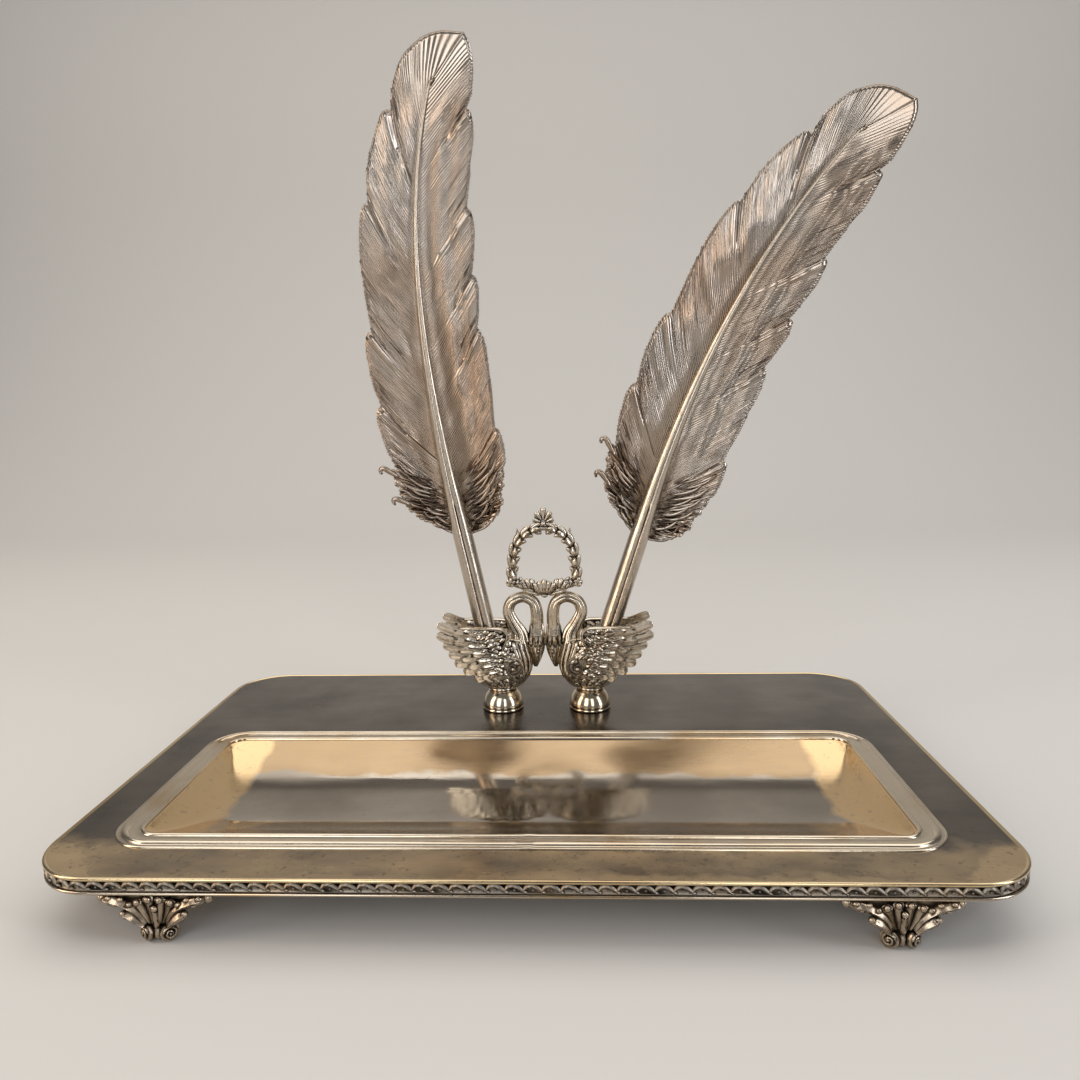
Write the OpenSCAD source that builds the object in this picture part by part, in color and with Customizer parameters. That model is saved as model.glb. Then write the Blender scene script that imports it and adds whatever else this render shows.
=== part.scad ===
// Footed silver desk stand: a footed plate with a pen well, and two swans that carry
// a wreath and hold two quill pens. Origin: on the table under the plate's middle.
// +X is to the right, +Y is away from the writer, +Z is up. Millimetres.

/* [Plate] */
// Width of the plate over its rim wire
plate_w = 270; // [240:1:320]
// Depth of the plate over its rim wire
plate_d = 170; // [150:1:200]
// Radius of the plate's corners
plate_r = 19.5; // [17:0.5:30]
// Thickness of the plate's sheet
plate_t = 0.8; // [0.6:0.1:1.2]
// Height of the edge band's top, where the sheet lies on it
band_top = 17.8; // [16:0.1:24]

/* [Edge] */
// Height of the decorated band
band_h = 3; // [2:0.1:4]
// Thickness of the decorated band
band_t = 1.1; // [0.9:0.1:1.6]
// Height of the plain bead under the band
bead_h = 0.9; // [0.7:0.1:1.3]
// Radius of the round wire along the rim
wire_r = 0.55; // [0.5:0.05:0.6]
// Width of the rim wire's foot inside its round
wire_foot = 0.8; // [0.6:0.1:1]
// How far the band stands back from the rim wire's outside
band_back = 0.5; // [0.4:0.1:0.6]

/* [Well] */
// Width of the well's opening, inside its moulding
well_w = 222.8; // [190:0.2:226]
// Depth of the well's opening from front to back
well_d = 69.6; // [56:0.2:74]
// Corner radius of the well's opening
well_r = 5.3; // [4:0.1:8]
// Middle of the well, left or right of the plate's middle
well_x = -1.2; // [-3:0.2:2]
// Distance from the plate's front edge to the well's opening
well_front = 23.9; // [22:0.1:27]
// Depth of the well's floor under the plate's surface
well_sink = 8.5; // [7:0.1:10]
// Radius of the hollow at the well's two ends
well_end_r = 16; // [12:0.5:22]
// Thickness of the well's sheet
well_t = 1; // [0.8:0.1:1.2]
// Width of the moulding round the well
border_w = 8; // [7:0.1:8.5]
// Height of the moulding's flat base
border_t = 0.3; // [0.2:0.05:0.5]
// Radius of the moulding's inner bead
border_bead = 0.8; // [0.6:0.05:1]
// Radius of the moulding's broad middle bead
border_ovolo = 1.2; // [0.9:0.05:1.4]
// Radius of the moulding's fine outer bead
border_fillet = 0.45; // [0.35:0.05:0.6]

/* [Feet] */
// Distance of each foot's middle from the plate's end
foot_inset = 38; // [34:1:50]
// Half span of a foot's two arms
foot_arm = 15.6; // [14:0.2:17]
// Half width of a foot's fan of leaves
foot_fan = 7.8; // [7:0.1:9]
// Width of the ram's-horn scroll that a foot stands on
foot_roll_w = 7.4; // [6.4:0.1:8]
// Radius of that scroll
foot_roll_r = 2.9; // [2.5:0.1:3.2]
// Thickness of a foot from front to back
foot_t = 2.6; // [2:0.1:3.2]
// Distance of a foot's front from the plate's front edge
foot_back = 0.6; // [0.5:0.1:1]
// Radius of the round knob at the end of each arm
foot_knob_r = 1.25; // [1:0.05:1.4]

/* [Swans] */
// Middle of the pair, right of the plate's middle
pair_x = 2; // [-4:0.5:4]
// Distance of the pair behind the plate's middle
pair_y = 43; // [40:0.5:50]
// Half the distance between the two pedestals
swan_half = 17.5; // [17.5:0.5:20]
// Height of the spun pedestals
pedestal_h = 8; // [7:0.2:10]
// Radius of a pedestal at its top
pedestal_top_r = 5.5; // [5:0.1:6.5]
// Largest radius of a pedestal
pedestal_r = 8.7; // [7.5:0.1:9.5]
// Thickness of each cast wing
wing_t = 1.1; // [0.9:0.1:1.4]
// Distance of each wing's inner face from the swan's middle plane
wing_y = 6.9; // [6.8:0.1:7.5]
// Radius of the neck at its crown
neck_r = 1.85; // [1.5:0.05:2]
// Radius of the threaded stud under each swan
stud_r = 1.5; // [1.25:0.05:1.6]
// Length of the stud inside the swan
stud_in = 4.5; // [3:0.1:4.6]
// Thickness of the stud's washer
washer_t = 0.8; // [0.5:0.1:1]
// Radius of the stud's washer
washer_r = 3.5; // [3:0.1:4.5]
// Thickness of the stud's nut
nut_t = 2.4; // [2:0.1:3]
// Width of the nut across its flats
nut_af = 5.5; // [5:0.1:6]

/* [Wreath] */
// Radius of the wreath's ring, at the middle of its section
ring_r = 11.7; // [11:0.1:12.4]
// Radius of the ring's section
ring_sec = 2.1; // [1.7:0.05:2.3]
// Depth of the wreath's leaf spray from front to back
spray_t = 3; // [2.4:0.1:3.6]

/* [Pens] */
// Radius of a quill's barrel at its lower end
barrel_r = 4.1; // [4:0.05:4.3]
// Radius of the barrel where the feather starts
barrel_top_r = 3.85; // [3.7:0.05:4]
// Length of the straight barrel
barrel_len = 56; // [52:1:62]
// Length at the barrel's top that narrows, where the feather starts beside it
taper_len = 14; // [10:1:18]
// Length of the feather above the barrel, along its curve
feather_len = 171; // [140:1:180]
// Largest half width of the feather
vane_w = 22; // [18:0.5:24]
// Thickness of the feather's sheet
vane_t = 0.8; // [0.6:0.1:1]
// How far the feather's tip bows to the front
vane_bow = 9; // [0:0.5:12]
// How far a lobe's upper end curls forward out of the feather
lobe_lift = 1.7; // [0.5:0.1:2]
// How far a lobe's upper end stands out past the feather's edge
lobe_out = 1.4; // [0.5:0.1:1.8]
// How far the feather's halves swell forward between the rachis and the edge
vane_swell = 1; // [0.4:0.1:1.4]
// Radius of the rachis at the feather's tip
tip_r = 0.4; // [0.3:0.05:0.6]
// Lean of the left pen from upright, in degrees
left_lean = 11.7; // [8:0.1:16]
// Even bend of the left feather towards the right, in degrees
left_bend = 16; // [8:0.5:24]
// Further bend of the left feather near its tip, in degrees
left_hook = 21; // [8:0.5:30]
// Distance of the left pen's lower end outside its swan's middle
left_out = 2.8; // [1:0.1:3.4]
// Lean of the right pen from upright, in degrees
right_lean = 17.9; // [14:0.1:20]
// Even bend of the right feather towards the right, in degrees
right_bend = 21.5; // [12:0.5:28]
// Further bend of the right feather near its tip, in degrees
right_hook = 9; // [0:0.5:16]
// Distance of the right pen's lower end outside its swan's middle
right_out = 2.4; // [1:0.1:3.4]
// Length of the tube in the swan's back that holds a pen
socket_len = 16; // [15:0.5:17]
// Wall of that tube
socket_wall = 0.6; // [0.5:0.05:0.7]
// Length of the pen's point section below the barrel
point_len = 12.4; // [11.5:0.1:12.6]
// Radius of the point section's tenon in the barrel
tenon_r = 3; // [2.6:0.05:3.2]
// Length of that tenon
tenon_len = 6; // [4:0.5:8]
// Length of the ink refill
refill_len = 67; // [60:0.5:67]
// Radius of the ink refill
refill_r = 1.18; // [1:0.02:1.2]

/* [Fits] */
// Radial clearance where a pen slides or turns
run_gap = 0.05; // [0.03:0.01:0.09]
// Clearance between pieces that are soldered side by side
seat_gap = 0.15; // [0.1:0.05:0.2]

/* [Hidden] */

$fn = 48;
cut = 0.5;                              // how far a cutting shape reaches past a face
silver = [0.78, 0.74, 0.68];
dark_silver = [0.52, 0.48, 0.44];
warm_silver = [0.74, 0.64, 0.52];

plate_top = band_top + plate_t;
band_bottom = band_top - band_h;
bead_bottom = band_bottom - bead_h;
wire_in = wire_r + wire_foot;           // inner face of the rim wire, where the sheet ends
well_y = -plate_d/2 + well_front + well_d/2;
well_side_r = (well_d*well_d/4 + well_sink*well_sink)/(2*well_sink); // hollow, front to back
foot_x = plate_w/2 - foot_inset;
left_x = pair_x - swan_half;
right_x = pair_x + swan_half;

// The swan's body: height over the plate, middle, half length and half width of each ring
body_rings = [
  [0, -0.4, 4.8, 4.2], [2, -0.5, 6.8, 5.2], [5.2, 0.2, 10.7, 6.3], [11.2, -1.8, 13.4, 6.6],
  [17.2, -4.4, 14.6, 6.2], [20.4, -5.7, 15.2, 5.4]
];
deck_z = pedestal_h + body_rings[5][0]; // height of the swan's back over the plate

// Neck and head, from the back of the swan: how far in, how high over the back, and radius.
// The sixth point is the crown.
neck_path = [
  [6.5, 0, 2.9], [6.3, 3, 2.6], [4.3, 6.4, 2.25], [2.9, 11.2, 2], [4.6, 15.4, 1.9],
  [9, 17, 1.85], [13, 15, 1.9], [14.3, 10.3, 2.15], [14.1, 4.8, 2.3], [14.2, 0.3, 3.1],
  [14, -3.7, 2.9], [13.6, -8, 1.5], [13.2, -12.2, 0.6]
];
crown_z = deck_z + neck_path[5][1] + neck_r; // top of the necks over the plate

// One wing's outline: how far in, and how high over the pedestal
wing_outline = [
  [-16.9, 27], [0.7, 26.6], [2.5, 25.4], [3.1, 23.2], [1.4, 19], [1.4, 16.4], [4, 15.1],
  [8, 13.9], [8.6, 11], [7, 8.3], [3.6, 6.4], [0.2, 5.8], [-3.6, 5.2], [-6.8, 4.4],
  [-13, 7], [-13.6, 9], [-17.3, 13.6], [-17.2, 15.6], [-21.2, 19], [-20.8, 21],
  [-24.6, 25.6], [-24.4, 27.4], [-20, 26]
];

// The pen's axis starts at the lower end of its socket
socket_z = pedestal_h + 7.6;            // over the plate
socket_floor = 1;                       // closed end of the socket
socket_step = 9;                        // where the pen's shoulder rests
socket_in_r = barrel_r + run_gap;
socket_out_r = socket_in_r + socket_wall;
point_top = socket_len - 2;             // the barrel starts just inside the socket's mouth
nose_r = 2.6;                           // radius of the point section under its shoulder
refill_from = point_top - point_len - 0.3;
barrel_bore_r = tenon_r + run_gap;
barrel_top = point_top + barrel_len;
vane_from = barrel_top - taper_len;     // where the feather starts and the barrel narrows
pen_top = barrel_top + feather_len;
pen_step = 3.5;                         // distance between the feather's cross-sections
left_quill = [-left_lean, left_bend, left_hook];
right_quill = [right_lean, right_bend, right_hook];
vane_edge = [                           // part of the feather's length, left and right part of its width
  [0, 0.2, 0.45], [0.03, 0.35, 0.72], [0.06, 0.72, 0.86], [0.1, 0.86, 0.94], [0.18, 0.96, 1.03],
  [0.35, 1, 1], [0.5, 0.93, 0.97], [0.6, 0.92, 0.95], [0.72, 0.84, 0.87], [0.84, 0.62, 0.78],
  [0.92, 0.54, 0.66], [0.97, 0.22, 0.54], [1, -0.2, 0.4]
];
// Where each half parts into lobes, as parts of the feather's length
left_lobes = [0.03, 0.16, 0.29, 0.44, 0.67, 0.83];
right_lobes = [0.03, 0.21, 0.42, 0.53, 0.67, 0.86];

function mix(a, b, t) = a + (b - a)*t;

// A curve through the points: Catmull-Rom between points k and k + 1
function at(p, k) = p[max(0, min(len(p) - 1, k))];
function between(p, k, t) =
  0.5*(2*at(p, k) + (at(p, k + 1) - at(p, k - 1))*t
  + (2*at(p, k - 1) - 5*at(p, k) + 4*at(p, k + 1) - at(p, k + 2))*t*t
  + (3*at(p, k) - at(p, k - 1) - 3*at(p, k + 1) + at(p, k + 2))*t*t*t);
function curve(p, steps) = concat(
  [for (k = [0 : len(p) - 2], i = [0 : steps - 1]) between(p, k, i/steps)], [p[len(p) - 1]]);

// A closed solid through rings that all have the same number of points
module loft(rings) {
  n = len(rings[0]);
  last = len(rings) - 1;
  sides = [for (j = [0 : last - 1], i = [0 : n - 1])
    each [[j*n + i, (j + 1)*n + i, j*n + (i + 1)%n],
          [j*n + (i + 1)%n, (j + 1)*n + i, (j + 1)*n + (i + 1)%n]]];
  bottom = [for (i = [1 : n - 2]) [0, i, i + 1]];
  top = [for (i = [1 : n - 2]) [last*n, last*n + i + 1, last*n + i]];
  polyhedron([for (ring = rings) each ring], concat(sides, bottom, top));
}

module rounded_rect(w, d, r) {
  square([w - 2*r, d], center = true);
  square([w, d - 2*r], center = true);
  for (x = [-1, 1], y = [-1, 1])
    translate([x*(w/2 - r), y*(d/2 - r)]) circle(r);
}

// Runs a profile along a rounded rectangle; the profile's x = 0 lies on the outline
module around(w, d, r) {
  for (side = [0 : 3]) {
    long = side%2 == 0 ? d : w;
    wide = side%2 == 0 ? w : d;
    rotate([0, 0, 90*side]) {
      translate([wide/2 - r, long/2 - r, 0]) rotate([90, 0, 0])
        linear_extrude(long - 2*r) translate([r, 0]) children();
      translate([wide/2 - r, long/2 - r, 0])
        rotate_extrude(angle = 90) translate([r, 0]) children();
    }
  }
}

// ---- Plate ----

module stud_holes(r) {
  for (x = [left_x, right_x]) translate([x, pair_y, 0]) circle(r);
}

module top_plate() {
  color(silver) translate([0, 0, band_top]) linear_extrude(plate_t) difference() {
    rounded_rect(plate_w - 2*wire_in, plate_d - 2*wire_in, plate_r - wire_in);
    translate([well_x, well_y])
      rounded_rect(well_w + 2*well_t, well_d + 2*well_t, well_r + well_t);
    stud_holes(stud_r + run_gap);
  }
}

// The well's hollow, or with grow = well_t the outside of its sheet: two cylinders that
// meet in a floor line, inside the rounded outline of the opening
module well_hollow(grow) {
  end_rise = well_end_r - well_sink;
  end_half = sqrt(well_end_r*well_end_r - end_rise*end_rise);
  long = well_w + 2*grow;
  intersection() {
    translate([0, 0, well_side_r - well_sink]) rotate([0, 90, 0])
      cylinder(r = well_side_r + grow, h = long, center = true, $fn = 160);
    rotate([90, 0, 0]) linear_extrude(well_d + 2*grow, center = true) {
      for (x = [-1, 1]) translate([x*(well_w/2 - end_half), end_rise])
        circle(well_end_r + grow, $fn = 96);
      translate([end_half - well_w/2, -well_sink - grow])
        square([well_w - 2*end_half, well_sink + well_end_r + grow]);
    }
    translate([0, 0, -2*well_sink]) linear_extrude(2*well_sink + (grow > 0 ? 0 : cut))
      rounded_rect(long, well_d + 2*grow, well_r + grow);
  }
}

module pen_well() {
  color(warm_silver) translate([well_x, well_y, plate_top]) difference() {
    well_hollow(well_t);
    well_hollow(0);
  }
}

module half_round(x, r, sunk) {
  intersection() {
    translate([x, -sunk]) circle(r, $fn = 32);
    translate([x - r, 0]) square([2*r, r]);
  }
}

module well_border() {
  color(silver) translate([well_x, well_y, plate_top]) around(well_w, well_d, well_r) {
    square([border_w, border_t]);
    half_round(border_bead, border_bead, 0);
    half_round(border_w - 2*border_fillet - border_ovolo - 0.6, border_ovolo, 0.2);
    half_round(border_w - border_fillet, border_fillet, 0);
  }
}

module rim_wire() {
  wire_z = plate_t - 0.25;
  color(silver) translate([0, 0, band_top]) around(plate_w, plate_d, plate_r) {
    translate([-wire_r, wire_z]) circle(wire_r, $fn = 32);
    translate([-wire_in, 0]) square([wire_foot, plate_t]);
  }
}

module edge_band() {
  color(dark_silver) translate([0, 0, band_bottom]) around(plate_w, plate_d, plate_r)
    translate([-band_back - band_t, 0]) square([band_t, band_h]);
}

module lower_bead() {
  round_r = bead_h/2;
  color(silver) translate([0, 0, bead_bottom]) around(plate_w, plate_d, plate_r) {
    translate([-band_back - 0.05, round_r]) circle(round_r, $fn = 32);
    translate([-band_back - band_t, 0]) square([band_t - 0.05, bead_h]);
  }
}

// ---- Feet ----

// A foot under the edge at y = 0, its scroll on the table and its face to -Y
module foot() {
  roll_z = foot_roll_r - 0.2;
  roll_y = foot_back + foot_roll_r;
  top = bead_bottom;
  color(dark_silver) {
    intersection() {
      translate([-foot_roll_w/2, roll_y, roll_z]) rotate([0, 90, 0])
        cylinder(r = foot_roll_r, h = foot_roll_w);
      translate([-foot_roll_w, 0, 0]) cube([2*foot_roll_w, 3*foot_roll_r, 3*foot_roll_r]);
    }
    translate([0, foot_back + foot_t, 0]) rotate([90, 0, 0]) linear_extrude(foot_t)
      for (side = [0, 1]) mirror([side, 0]) polygon([
        [-0.1, roll_z], [foot_roll_w/2 - 0.4, roll_z], [foot_fan - 3.2, 6.2], [foot_fan - 1.8, 7.4],
        [foot_fan - 0.3, 9], [foot_fan, top - 3.3], [foot_fan - 0.8, top - 2.6],
        [foot_arm - 2, top - 1.9], [foot_arm - 1, top - 0.4], [foot_arm - 4, top], [-0.1, top]
      ]);
    for (x = [-1, 1])
      translate([x*(foot_arm - foot_knob_r), foot_back + foot_t, top - foot_knob_r])
        rotate([90, 0, 0]) cylinder(r = foot_knob_r, h = foot_t);
    // the tab behind the band that is soldered to the sheet's underside
    translate([-4, band_back + band_t, top - 2]) cube([8, foot_t - band_t, band_top - top + 2]);
  }
}

module place_foot(right, back) {
  translate([right*foot_x, 0, 0]) mirror([0, back > 0 ? 1 : 0, 0])
    translate([0, -plate_d/2, 0]) foot();
}

// ---- Swans: drawn with the pair's middle to +X, then placed left or mirrored right ----

module place_swan(side) {
  translate([pair_x, pair_y, plate_top]) mirror([side > 0 ? 1 : 0, 0, 0])
    translate([-swan_half, 0, 0]) children();
}

module pedestal() {
  bulge = pedestal_r - pedestal_top_r;
  waist = 0.35*pedestal_h;
  color(silver) difference() {
    rotate_extrude() polygon(concat(
      [[0, 0], [pedestal_r - 0.7, 0]],
      [for (a = [0 : 10 : 90])
        [pedestal_top_r + bulge*cos(a), waist + (pedestal_h - waist)*sin(a)]],
      [[0, pedestal_h]]));
    translate([0, 0, -cut]) cylinder(r = stud_r + run_gap, h = pedestal_h + 2*cut);
  }
}

function body_ring(ring) = [for (i = [0 : 19])
  [ring[1] + ring[2]*cos(18*i), ring[3]*sin(18*i), pedestal_h + ring[0]]];

module pen_axis(out, lean) {
  translate([-out, 0, socket_z]) rotate([0, -lean, 0]) children();
}

module swan_body(out, lean) {
  color(dark_silver) difference() {
    loft([for (ring = curve(body_rings, 2)) body_ring(ring)]);
    translate([0, 0, pedestal_h - cut]) cylinder(r = stud_r + run_gap, h = stud_in + cut);
    pen_axis(out, lean) cylinder(r = socket_out_r + run_gap, h = 2*socket_len);
  }
}

// Rings square to a path that stays in the swan's middle plane
function neck_ring(path, k) =
  let (ahead = at(path, k + 1), behind = at(path, k - 1), here = path[k],
       dx = ahead[0] - behind[0], dz = ahead[1] - behind[1], long = norm([dx, dz]),
       nx = k == 0 ? 1 : dz/long, nz = k == 0 ? 0 : -dx/long)
  [for (i = [0 : 9])
    [here[0] + here[2]*cos(36*i)*nx, here[2]*sin(36*i), deck_z + here[1] + here[2]*cos(36*i)*nz]];

module swan_neck() {
  path = curve(neck_path, 3);
  color(silver) loft([for (k = [0 : len(path) - 1]) neck_ring(path, k)]);
}

module wing(far) {
  color(dark_silver) translate([0, far*(wing_y + wing_t/2), pedestal_h])
    rotate([90, 0, 0]) linear_extrude(wing_t, center = true) polygon(wing_outline);
}

module pen_socket(out, lean) {
  color(silver) pen_axis(out, lean) difference() {
    cylinder(r = socket_out_r, h = socket_len);
    translate([0, 0, socket_step]) cylinder(r = socket_in_r, h = socket_len);
    translate([0, 0, socket_floor]) cylinder(r = nose_r + 4*run_gap, h = socket_len);
  }
}

module swan_stud() {
  below = plate_t + washer_t + nut_t + 1;
  color("dimgray") translate([0, 0, -below])
    cylinder(r = stud_r, h = below + pedestal_h + stud_in - 0.3);
}

module stud_washers() {
  for (x = [left_x, right_x]) translate([x, pair_y, band_top - washer_t])
    color("silver") difference() {
      cylinder(r = washer_r, h = washer_t);
      translate([0, 0, -cut]) cylinder(r = stud_r + run_gap, h = washer_t + 2*cut);
    }
}

module stud_nuts() {
  for (x = [left_x, right_x]) translate([x, pair_y, band_top - washer_t - nut_t])
    color("dimgray") difference() {
      cylinder(r = nut_af/sqrt(3), h = nut_t, $fn = 6);
      translate([0, 0, -cut]) cylinder(r = stud_r + run_gap, h = nut_t + 2*cut);
    }
}

// ---- Wreath ----

module petal(length, r) {
  cylinder(r1 = 0.6*r, r2 = r, h = length - r, $fn = 24);
  translate([0, 0, length - r]) sphere(r, $fn = 24);
}

module wreath() {
  base = crown_z + 0.1;
  ring_z = base + ring_r + ring_sec;
  crest_z = ring_z + ring_r + 0.6*ring_sec;
  half = swan_half - neck_path[5][0];   // from the pair's middle to the crown of each neck
  shoulder = 48;                        // degrees from the ring's top to a shoulder leaf
  boss_out = 6.4;                       // how far a lower corner's boss reaches past the ring
  color(silver) translate([pair_x, pair_y, plate_top]) {
    translate([0, 0, ring_z]) rotate([90, 0, 0])
      rotate_extrude() translate([ring_r, 0]) circle(ring_sec, $fn = 32);
    // the spray of leaves that sits on the two necks
    translate([0, spray_t/2, 0]) rotate([90, 0, 0]) linear_extrude(spray_t) polygon([
      [-half, base], [2 - half, base], [-3.4, base - 0.9], [-2, base - 1.9], [0, base - 2.2],
      [2, base - 1.9], [3.4, base - 0.9], [half - 2, base], [half, base], [half + 1, base + 1.6],
      [half - 1, base + 4.6], [half - 3, base + 3.4], [3.6, base + 2.6], [2, base + 3.6],
      [0, base + 6], [-2, base + 3.6], [-3.6, base + 2.6], [3 - half, base + 3.4],
      [1 - half, base + 4.6], [-half - 1, base + 1.6]
    ]);
    // five petals over the ring
    translate([0, 0, crest_z]) for (a = [-76 : 38 : 76])
      rotate([0, a, 0]) petal(6.2, 1.1);
    // a leaf tip at each shoulder and a boss at each lower corner
    for (x = [-1, 1]) {
      translate([x*ring_r*sin(shoulder), 0, ring_z + ring_r*cos(shoulder)])
        rotate([0, x*8, 0]) petal(5.6, 0.9);
      translate([0, 0, ring_z]) rotate([0, x*124, 0]) translate([0, 0, ring_r])
        petal(boss_out, 1.6);
    }
  }
}

// ---- Pens ----

// The quill's lean at a length along the pen, in degrees, and how far the tip has bowed
function past(t) = max(0, (t - barrel_top)/feather_len);
function lean_at(t, q) = q[0] + q[1]*past(t) + q[2]*pow(past(t), 3);

// Points along the feather: length along the pen, distance across, height, and lean
function pen_walk(q, t, x, z, walk) =
  t > pen_top - 0.01 ? concat(walk, [[t, x, z, lean_at(t, q)]]) :
  let (dt = min(pen_step, pen_top - t), lean = lean_at(t + dt/2, q))
  pen_walk(q, t + dt, x + dt*sin(lean), z + dt*cos(lean), concat(walk, [[t, x, z, lean_at(t, q)]]));
function pen_line(q) = pen_walk(q, vane_from, vane_from*sin(q[0]), vane_from*cos(q[0]), []);

function bow_at(t) = -vane_bow*past(t)*past(t);
function rachis_radius(t) =
  tip_r + (barrel_top_r - tip_r)*pow(1 - (t - vane_from)/(pen_top - vane_from), 2);

// A pen stands on its socket's lower end
module place_pen(side, out) {
  translate([pair_x + side*(swan_half + out), pair_y, plate_top + socket_z]) children();
}
module place_straight(side, out, lean) {
  place_pen(side, out) rotate([0, side*lean, 0]) children();
}

module point_section() {
  color(silver) difference() {
    union() {
      translate([0, 0, socket_step + 1])
        cylinder(r = tenon_r, h = point_top - socket_step - 1 + tenon_len);
      translate([0, 0, socket_step + run_gap])
        cylinder(r = barrel_r, h = point_top - socket_step - 2*run_gap);
      translate([0, 0, socket_step - 3]) cylinder(r = nose_r, h = 3 + 2*run_gap);
      translate([0, 0, point_top - point_len])
        cylinder(r1 = refill_r + 0.4, r2 = nose_r, h = socket_step - 3 - point_top + point_len);
    }
    translate([0, 0, -cut]) cylinder(r = refill_r + run_gap, h = 3*socket_len);
  }
}

module ink_refill() {
  tip = 1.4;
  color("dimgray") translate([0, 0, refill_from]) {
    cylinder(r1 = 0.35, r2 = refill_r, h = tip, $fn = 32);
    translate([0, 0, tip]) cylinder(r = refill_r, h = refill_len - tip, $fn = 32);
  }
}

module quill_barrel() {
  bore_top = refill_from + refill_len + 0.5;
  color(warm_silver) difference() {
    union() {
      translate([0, 0, point_top])
        cylinder(r1 = barrel_r, r2 = barrel_top_r, h = vane_from - point_top);
      translate([0, 0, vane_from])
        cylinder(r1 = barrel_top_r, r2 = rachis_radius(barrel_top), h = barrel_top - vane_from);
    }
    translate([0, 0, point_top - cut]) cylinder(r = barrel_bore_r, h = bore_top - point_top + cut);
  }
}

module quill_rachis(q) {
  points = [for (p = pen_line(q)) if (p[0] > barrel_top - 0.01 && p[0] < pen_top - 6) p];
  color(warm_silver) loft([for (p = points)
    let (r = rachis_radius(p[0])) [for (i = [0 : 9])
      [p[1] + r*cos(36*i)*cos(p[3]), bow_at(p[0]) + r*sin(36*i), p[2] - r*cos(36*i)*sin(p[3])]]]);
}

// How far up its lobe a part of the feather is, from 0 over a notch to 1 under the next one,
// how much of the lobe's curl that part has, and how much it stands out of the plain edge
function in_lobe(part, marks) =
  let (passed = [for (m = marks) if (m <= part) m], k = len(passed))
  k == 0 ? 0.45 : (part - marks[k - 1])/((k == len(marks) ? 1 : marks[k]) - marks[k - 1]);
function curl(part, marks) =
  part >= marks[len(marks) - 1] ? 0 : max(0, 2*in_lobe(part, marks) - 1);
function stand_out(part, marks) =
  lobe_out*(curl(part, marks) - max(0, 1 - 2.5*in_lobe(part, marks)));

// One cross-section of the feather: it lies behind the rachis, swells forward between the
// rachis and the edges, and its lobes curl forward. A lobe's curl reaches down along the
// barbs, so half way in it comes earlier by a tenth of the length.
function vane_ring(p) =
  let (part = (p[0] - vane_from)/(pen_top - vane_from), r = rachis_radius(p[0]) + seat_gap,
       full = min(1, part/0.3, (1 - part)/0.2),
       low = -vane_w*lookup(part, [for (e = vane_edge) [e[0], e[1]]])
         - full*stand_out(part, left_lobes),
       high = vane_w*lookup(part, [for (e = vane_edge) [e[0], e[2]]])
         + full*stand_out(part, right_lobes),
       low_lap = min(max(-r - 0.6, mix(low, high, 0.1)), mix(low, high, 0.4)),
       high_lap = max(min(r + 0.6, mix(low, high, 0.9)), mix(low, high, 0.6)),
       swell = full*vane_swell, inner = 0.35*full*lobe_lift,
       across = [low, mix(low, low_lap, 0.5), low_lap, high_lap,
         mix(high_lap, high, 0.4), mix(high_lap, high, 0.65), high],
       back = [-full*lobe_lift*curl(part, left_lobes),
         0.7*r - swell - inner*curl(part + 0.1, left_lobes), r, r,
         0.75*r - swell, 0.55*r + 0.6*swell - inner*curl(part + 0.1, right_lobes),
         -full*lobe_lift*curl(part, right_lobes)])
  concat(
    [for (k = [0 : 6]) vane_point(p, across[k], back[k])],
    [for (k = [6 : -1 : 0]) vane_point(p, across[k], back[k] + vane_t)]);
function vane_point(p, u, back) =
  [p[1] + u*cos(p[3]), bow_at(p[0]) + back, p[2] - u*sin(p[3])];

module quill_vane(q) {
  color(warm_silver) loft([for (p = pen_line(q)) vane_ring(p)]);
}

top_plate();
pen_well();
well_border();
rim_wire();
edge_band();
lower_bead();
place_foot(-1, 0);  // foot_front_left
place_foot(1, 0);  // foot_front_right
place_foot(-1, 1);  // foot_back_left
place_foot(1, 1);  // foot_back_right
place_swan(-1) pedestal();  // pedestal_left
place_swan(1) pedestal();  // pedestal_right
place_swan(-1) swan_body(left_out, left_lean);  // swan_body_left
place_swan(1) swan_body(right_out, right_lean);  // swan_body_right
place_swan(-1) swan_neck();  // swan_neck_left
place_swan(1) swan_neck();  // swan_neck_right
place_swan(-1) wing(-1);  // near_wing_left
place_swan(-1) wing(1);  // far_wing_left
place_swan(1) wing(-1);  // near_wing_right
place_swan(1) wing(1);  // far_wing_right
place_swan(-1) pen_socket(left_out, left_lean);  // pen_socket_left
place_swan(1) pen_socket(right_out, right_lean);  // pen_socket_right
place_swan(-1) swan_stud();  // swan_stud_left
place_swan(1) swan_stud();  // swan_stud_right
stud_washers();
stud_nuts();
wreath();
place_straight(-1, left_out, left_lean) point_section();  // point_section_left
place_straight(1, right_out, right_lean) point_section();  // point_section_right
place_straight(-1, left_out, left_lean) ink_refill();  // ink_refill_left
place_straight(1, right_out, right_lean) ink_refill();  // ink_refill_right
place_straight(-1, left_out, left_lean) quill_barrel();  // quill_barrel_left
place_straight(1, right_out, right_lean) quill_barrel();  // quill_barrel_right
place_pen(-1, left_out) quill_rachis(left_quill);  // quill_rachis_left
place_pen(1, right_out) quill_rachis(right_quill);  // quill_rachis_right
place_pen(-1, left_out) quill_vane(left_quill);  // quill_vane_left
place_pen(1, right_out) quill_vane(right_quill);  // quill_vane_right
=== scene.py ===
import random
from math import cos, exp, hypot, pi, radians, sin, sqrt

import bmesh
import bpy
import numpy as np
from mathutils import Matrix, Vector, noise
from mathutils.bvhtree import BVHTree


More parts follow.
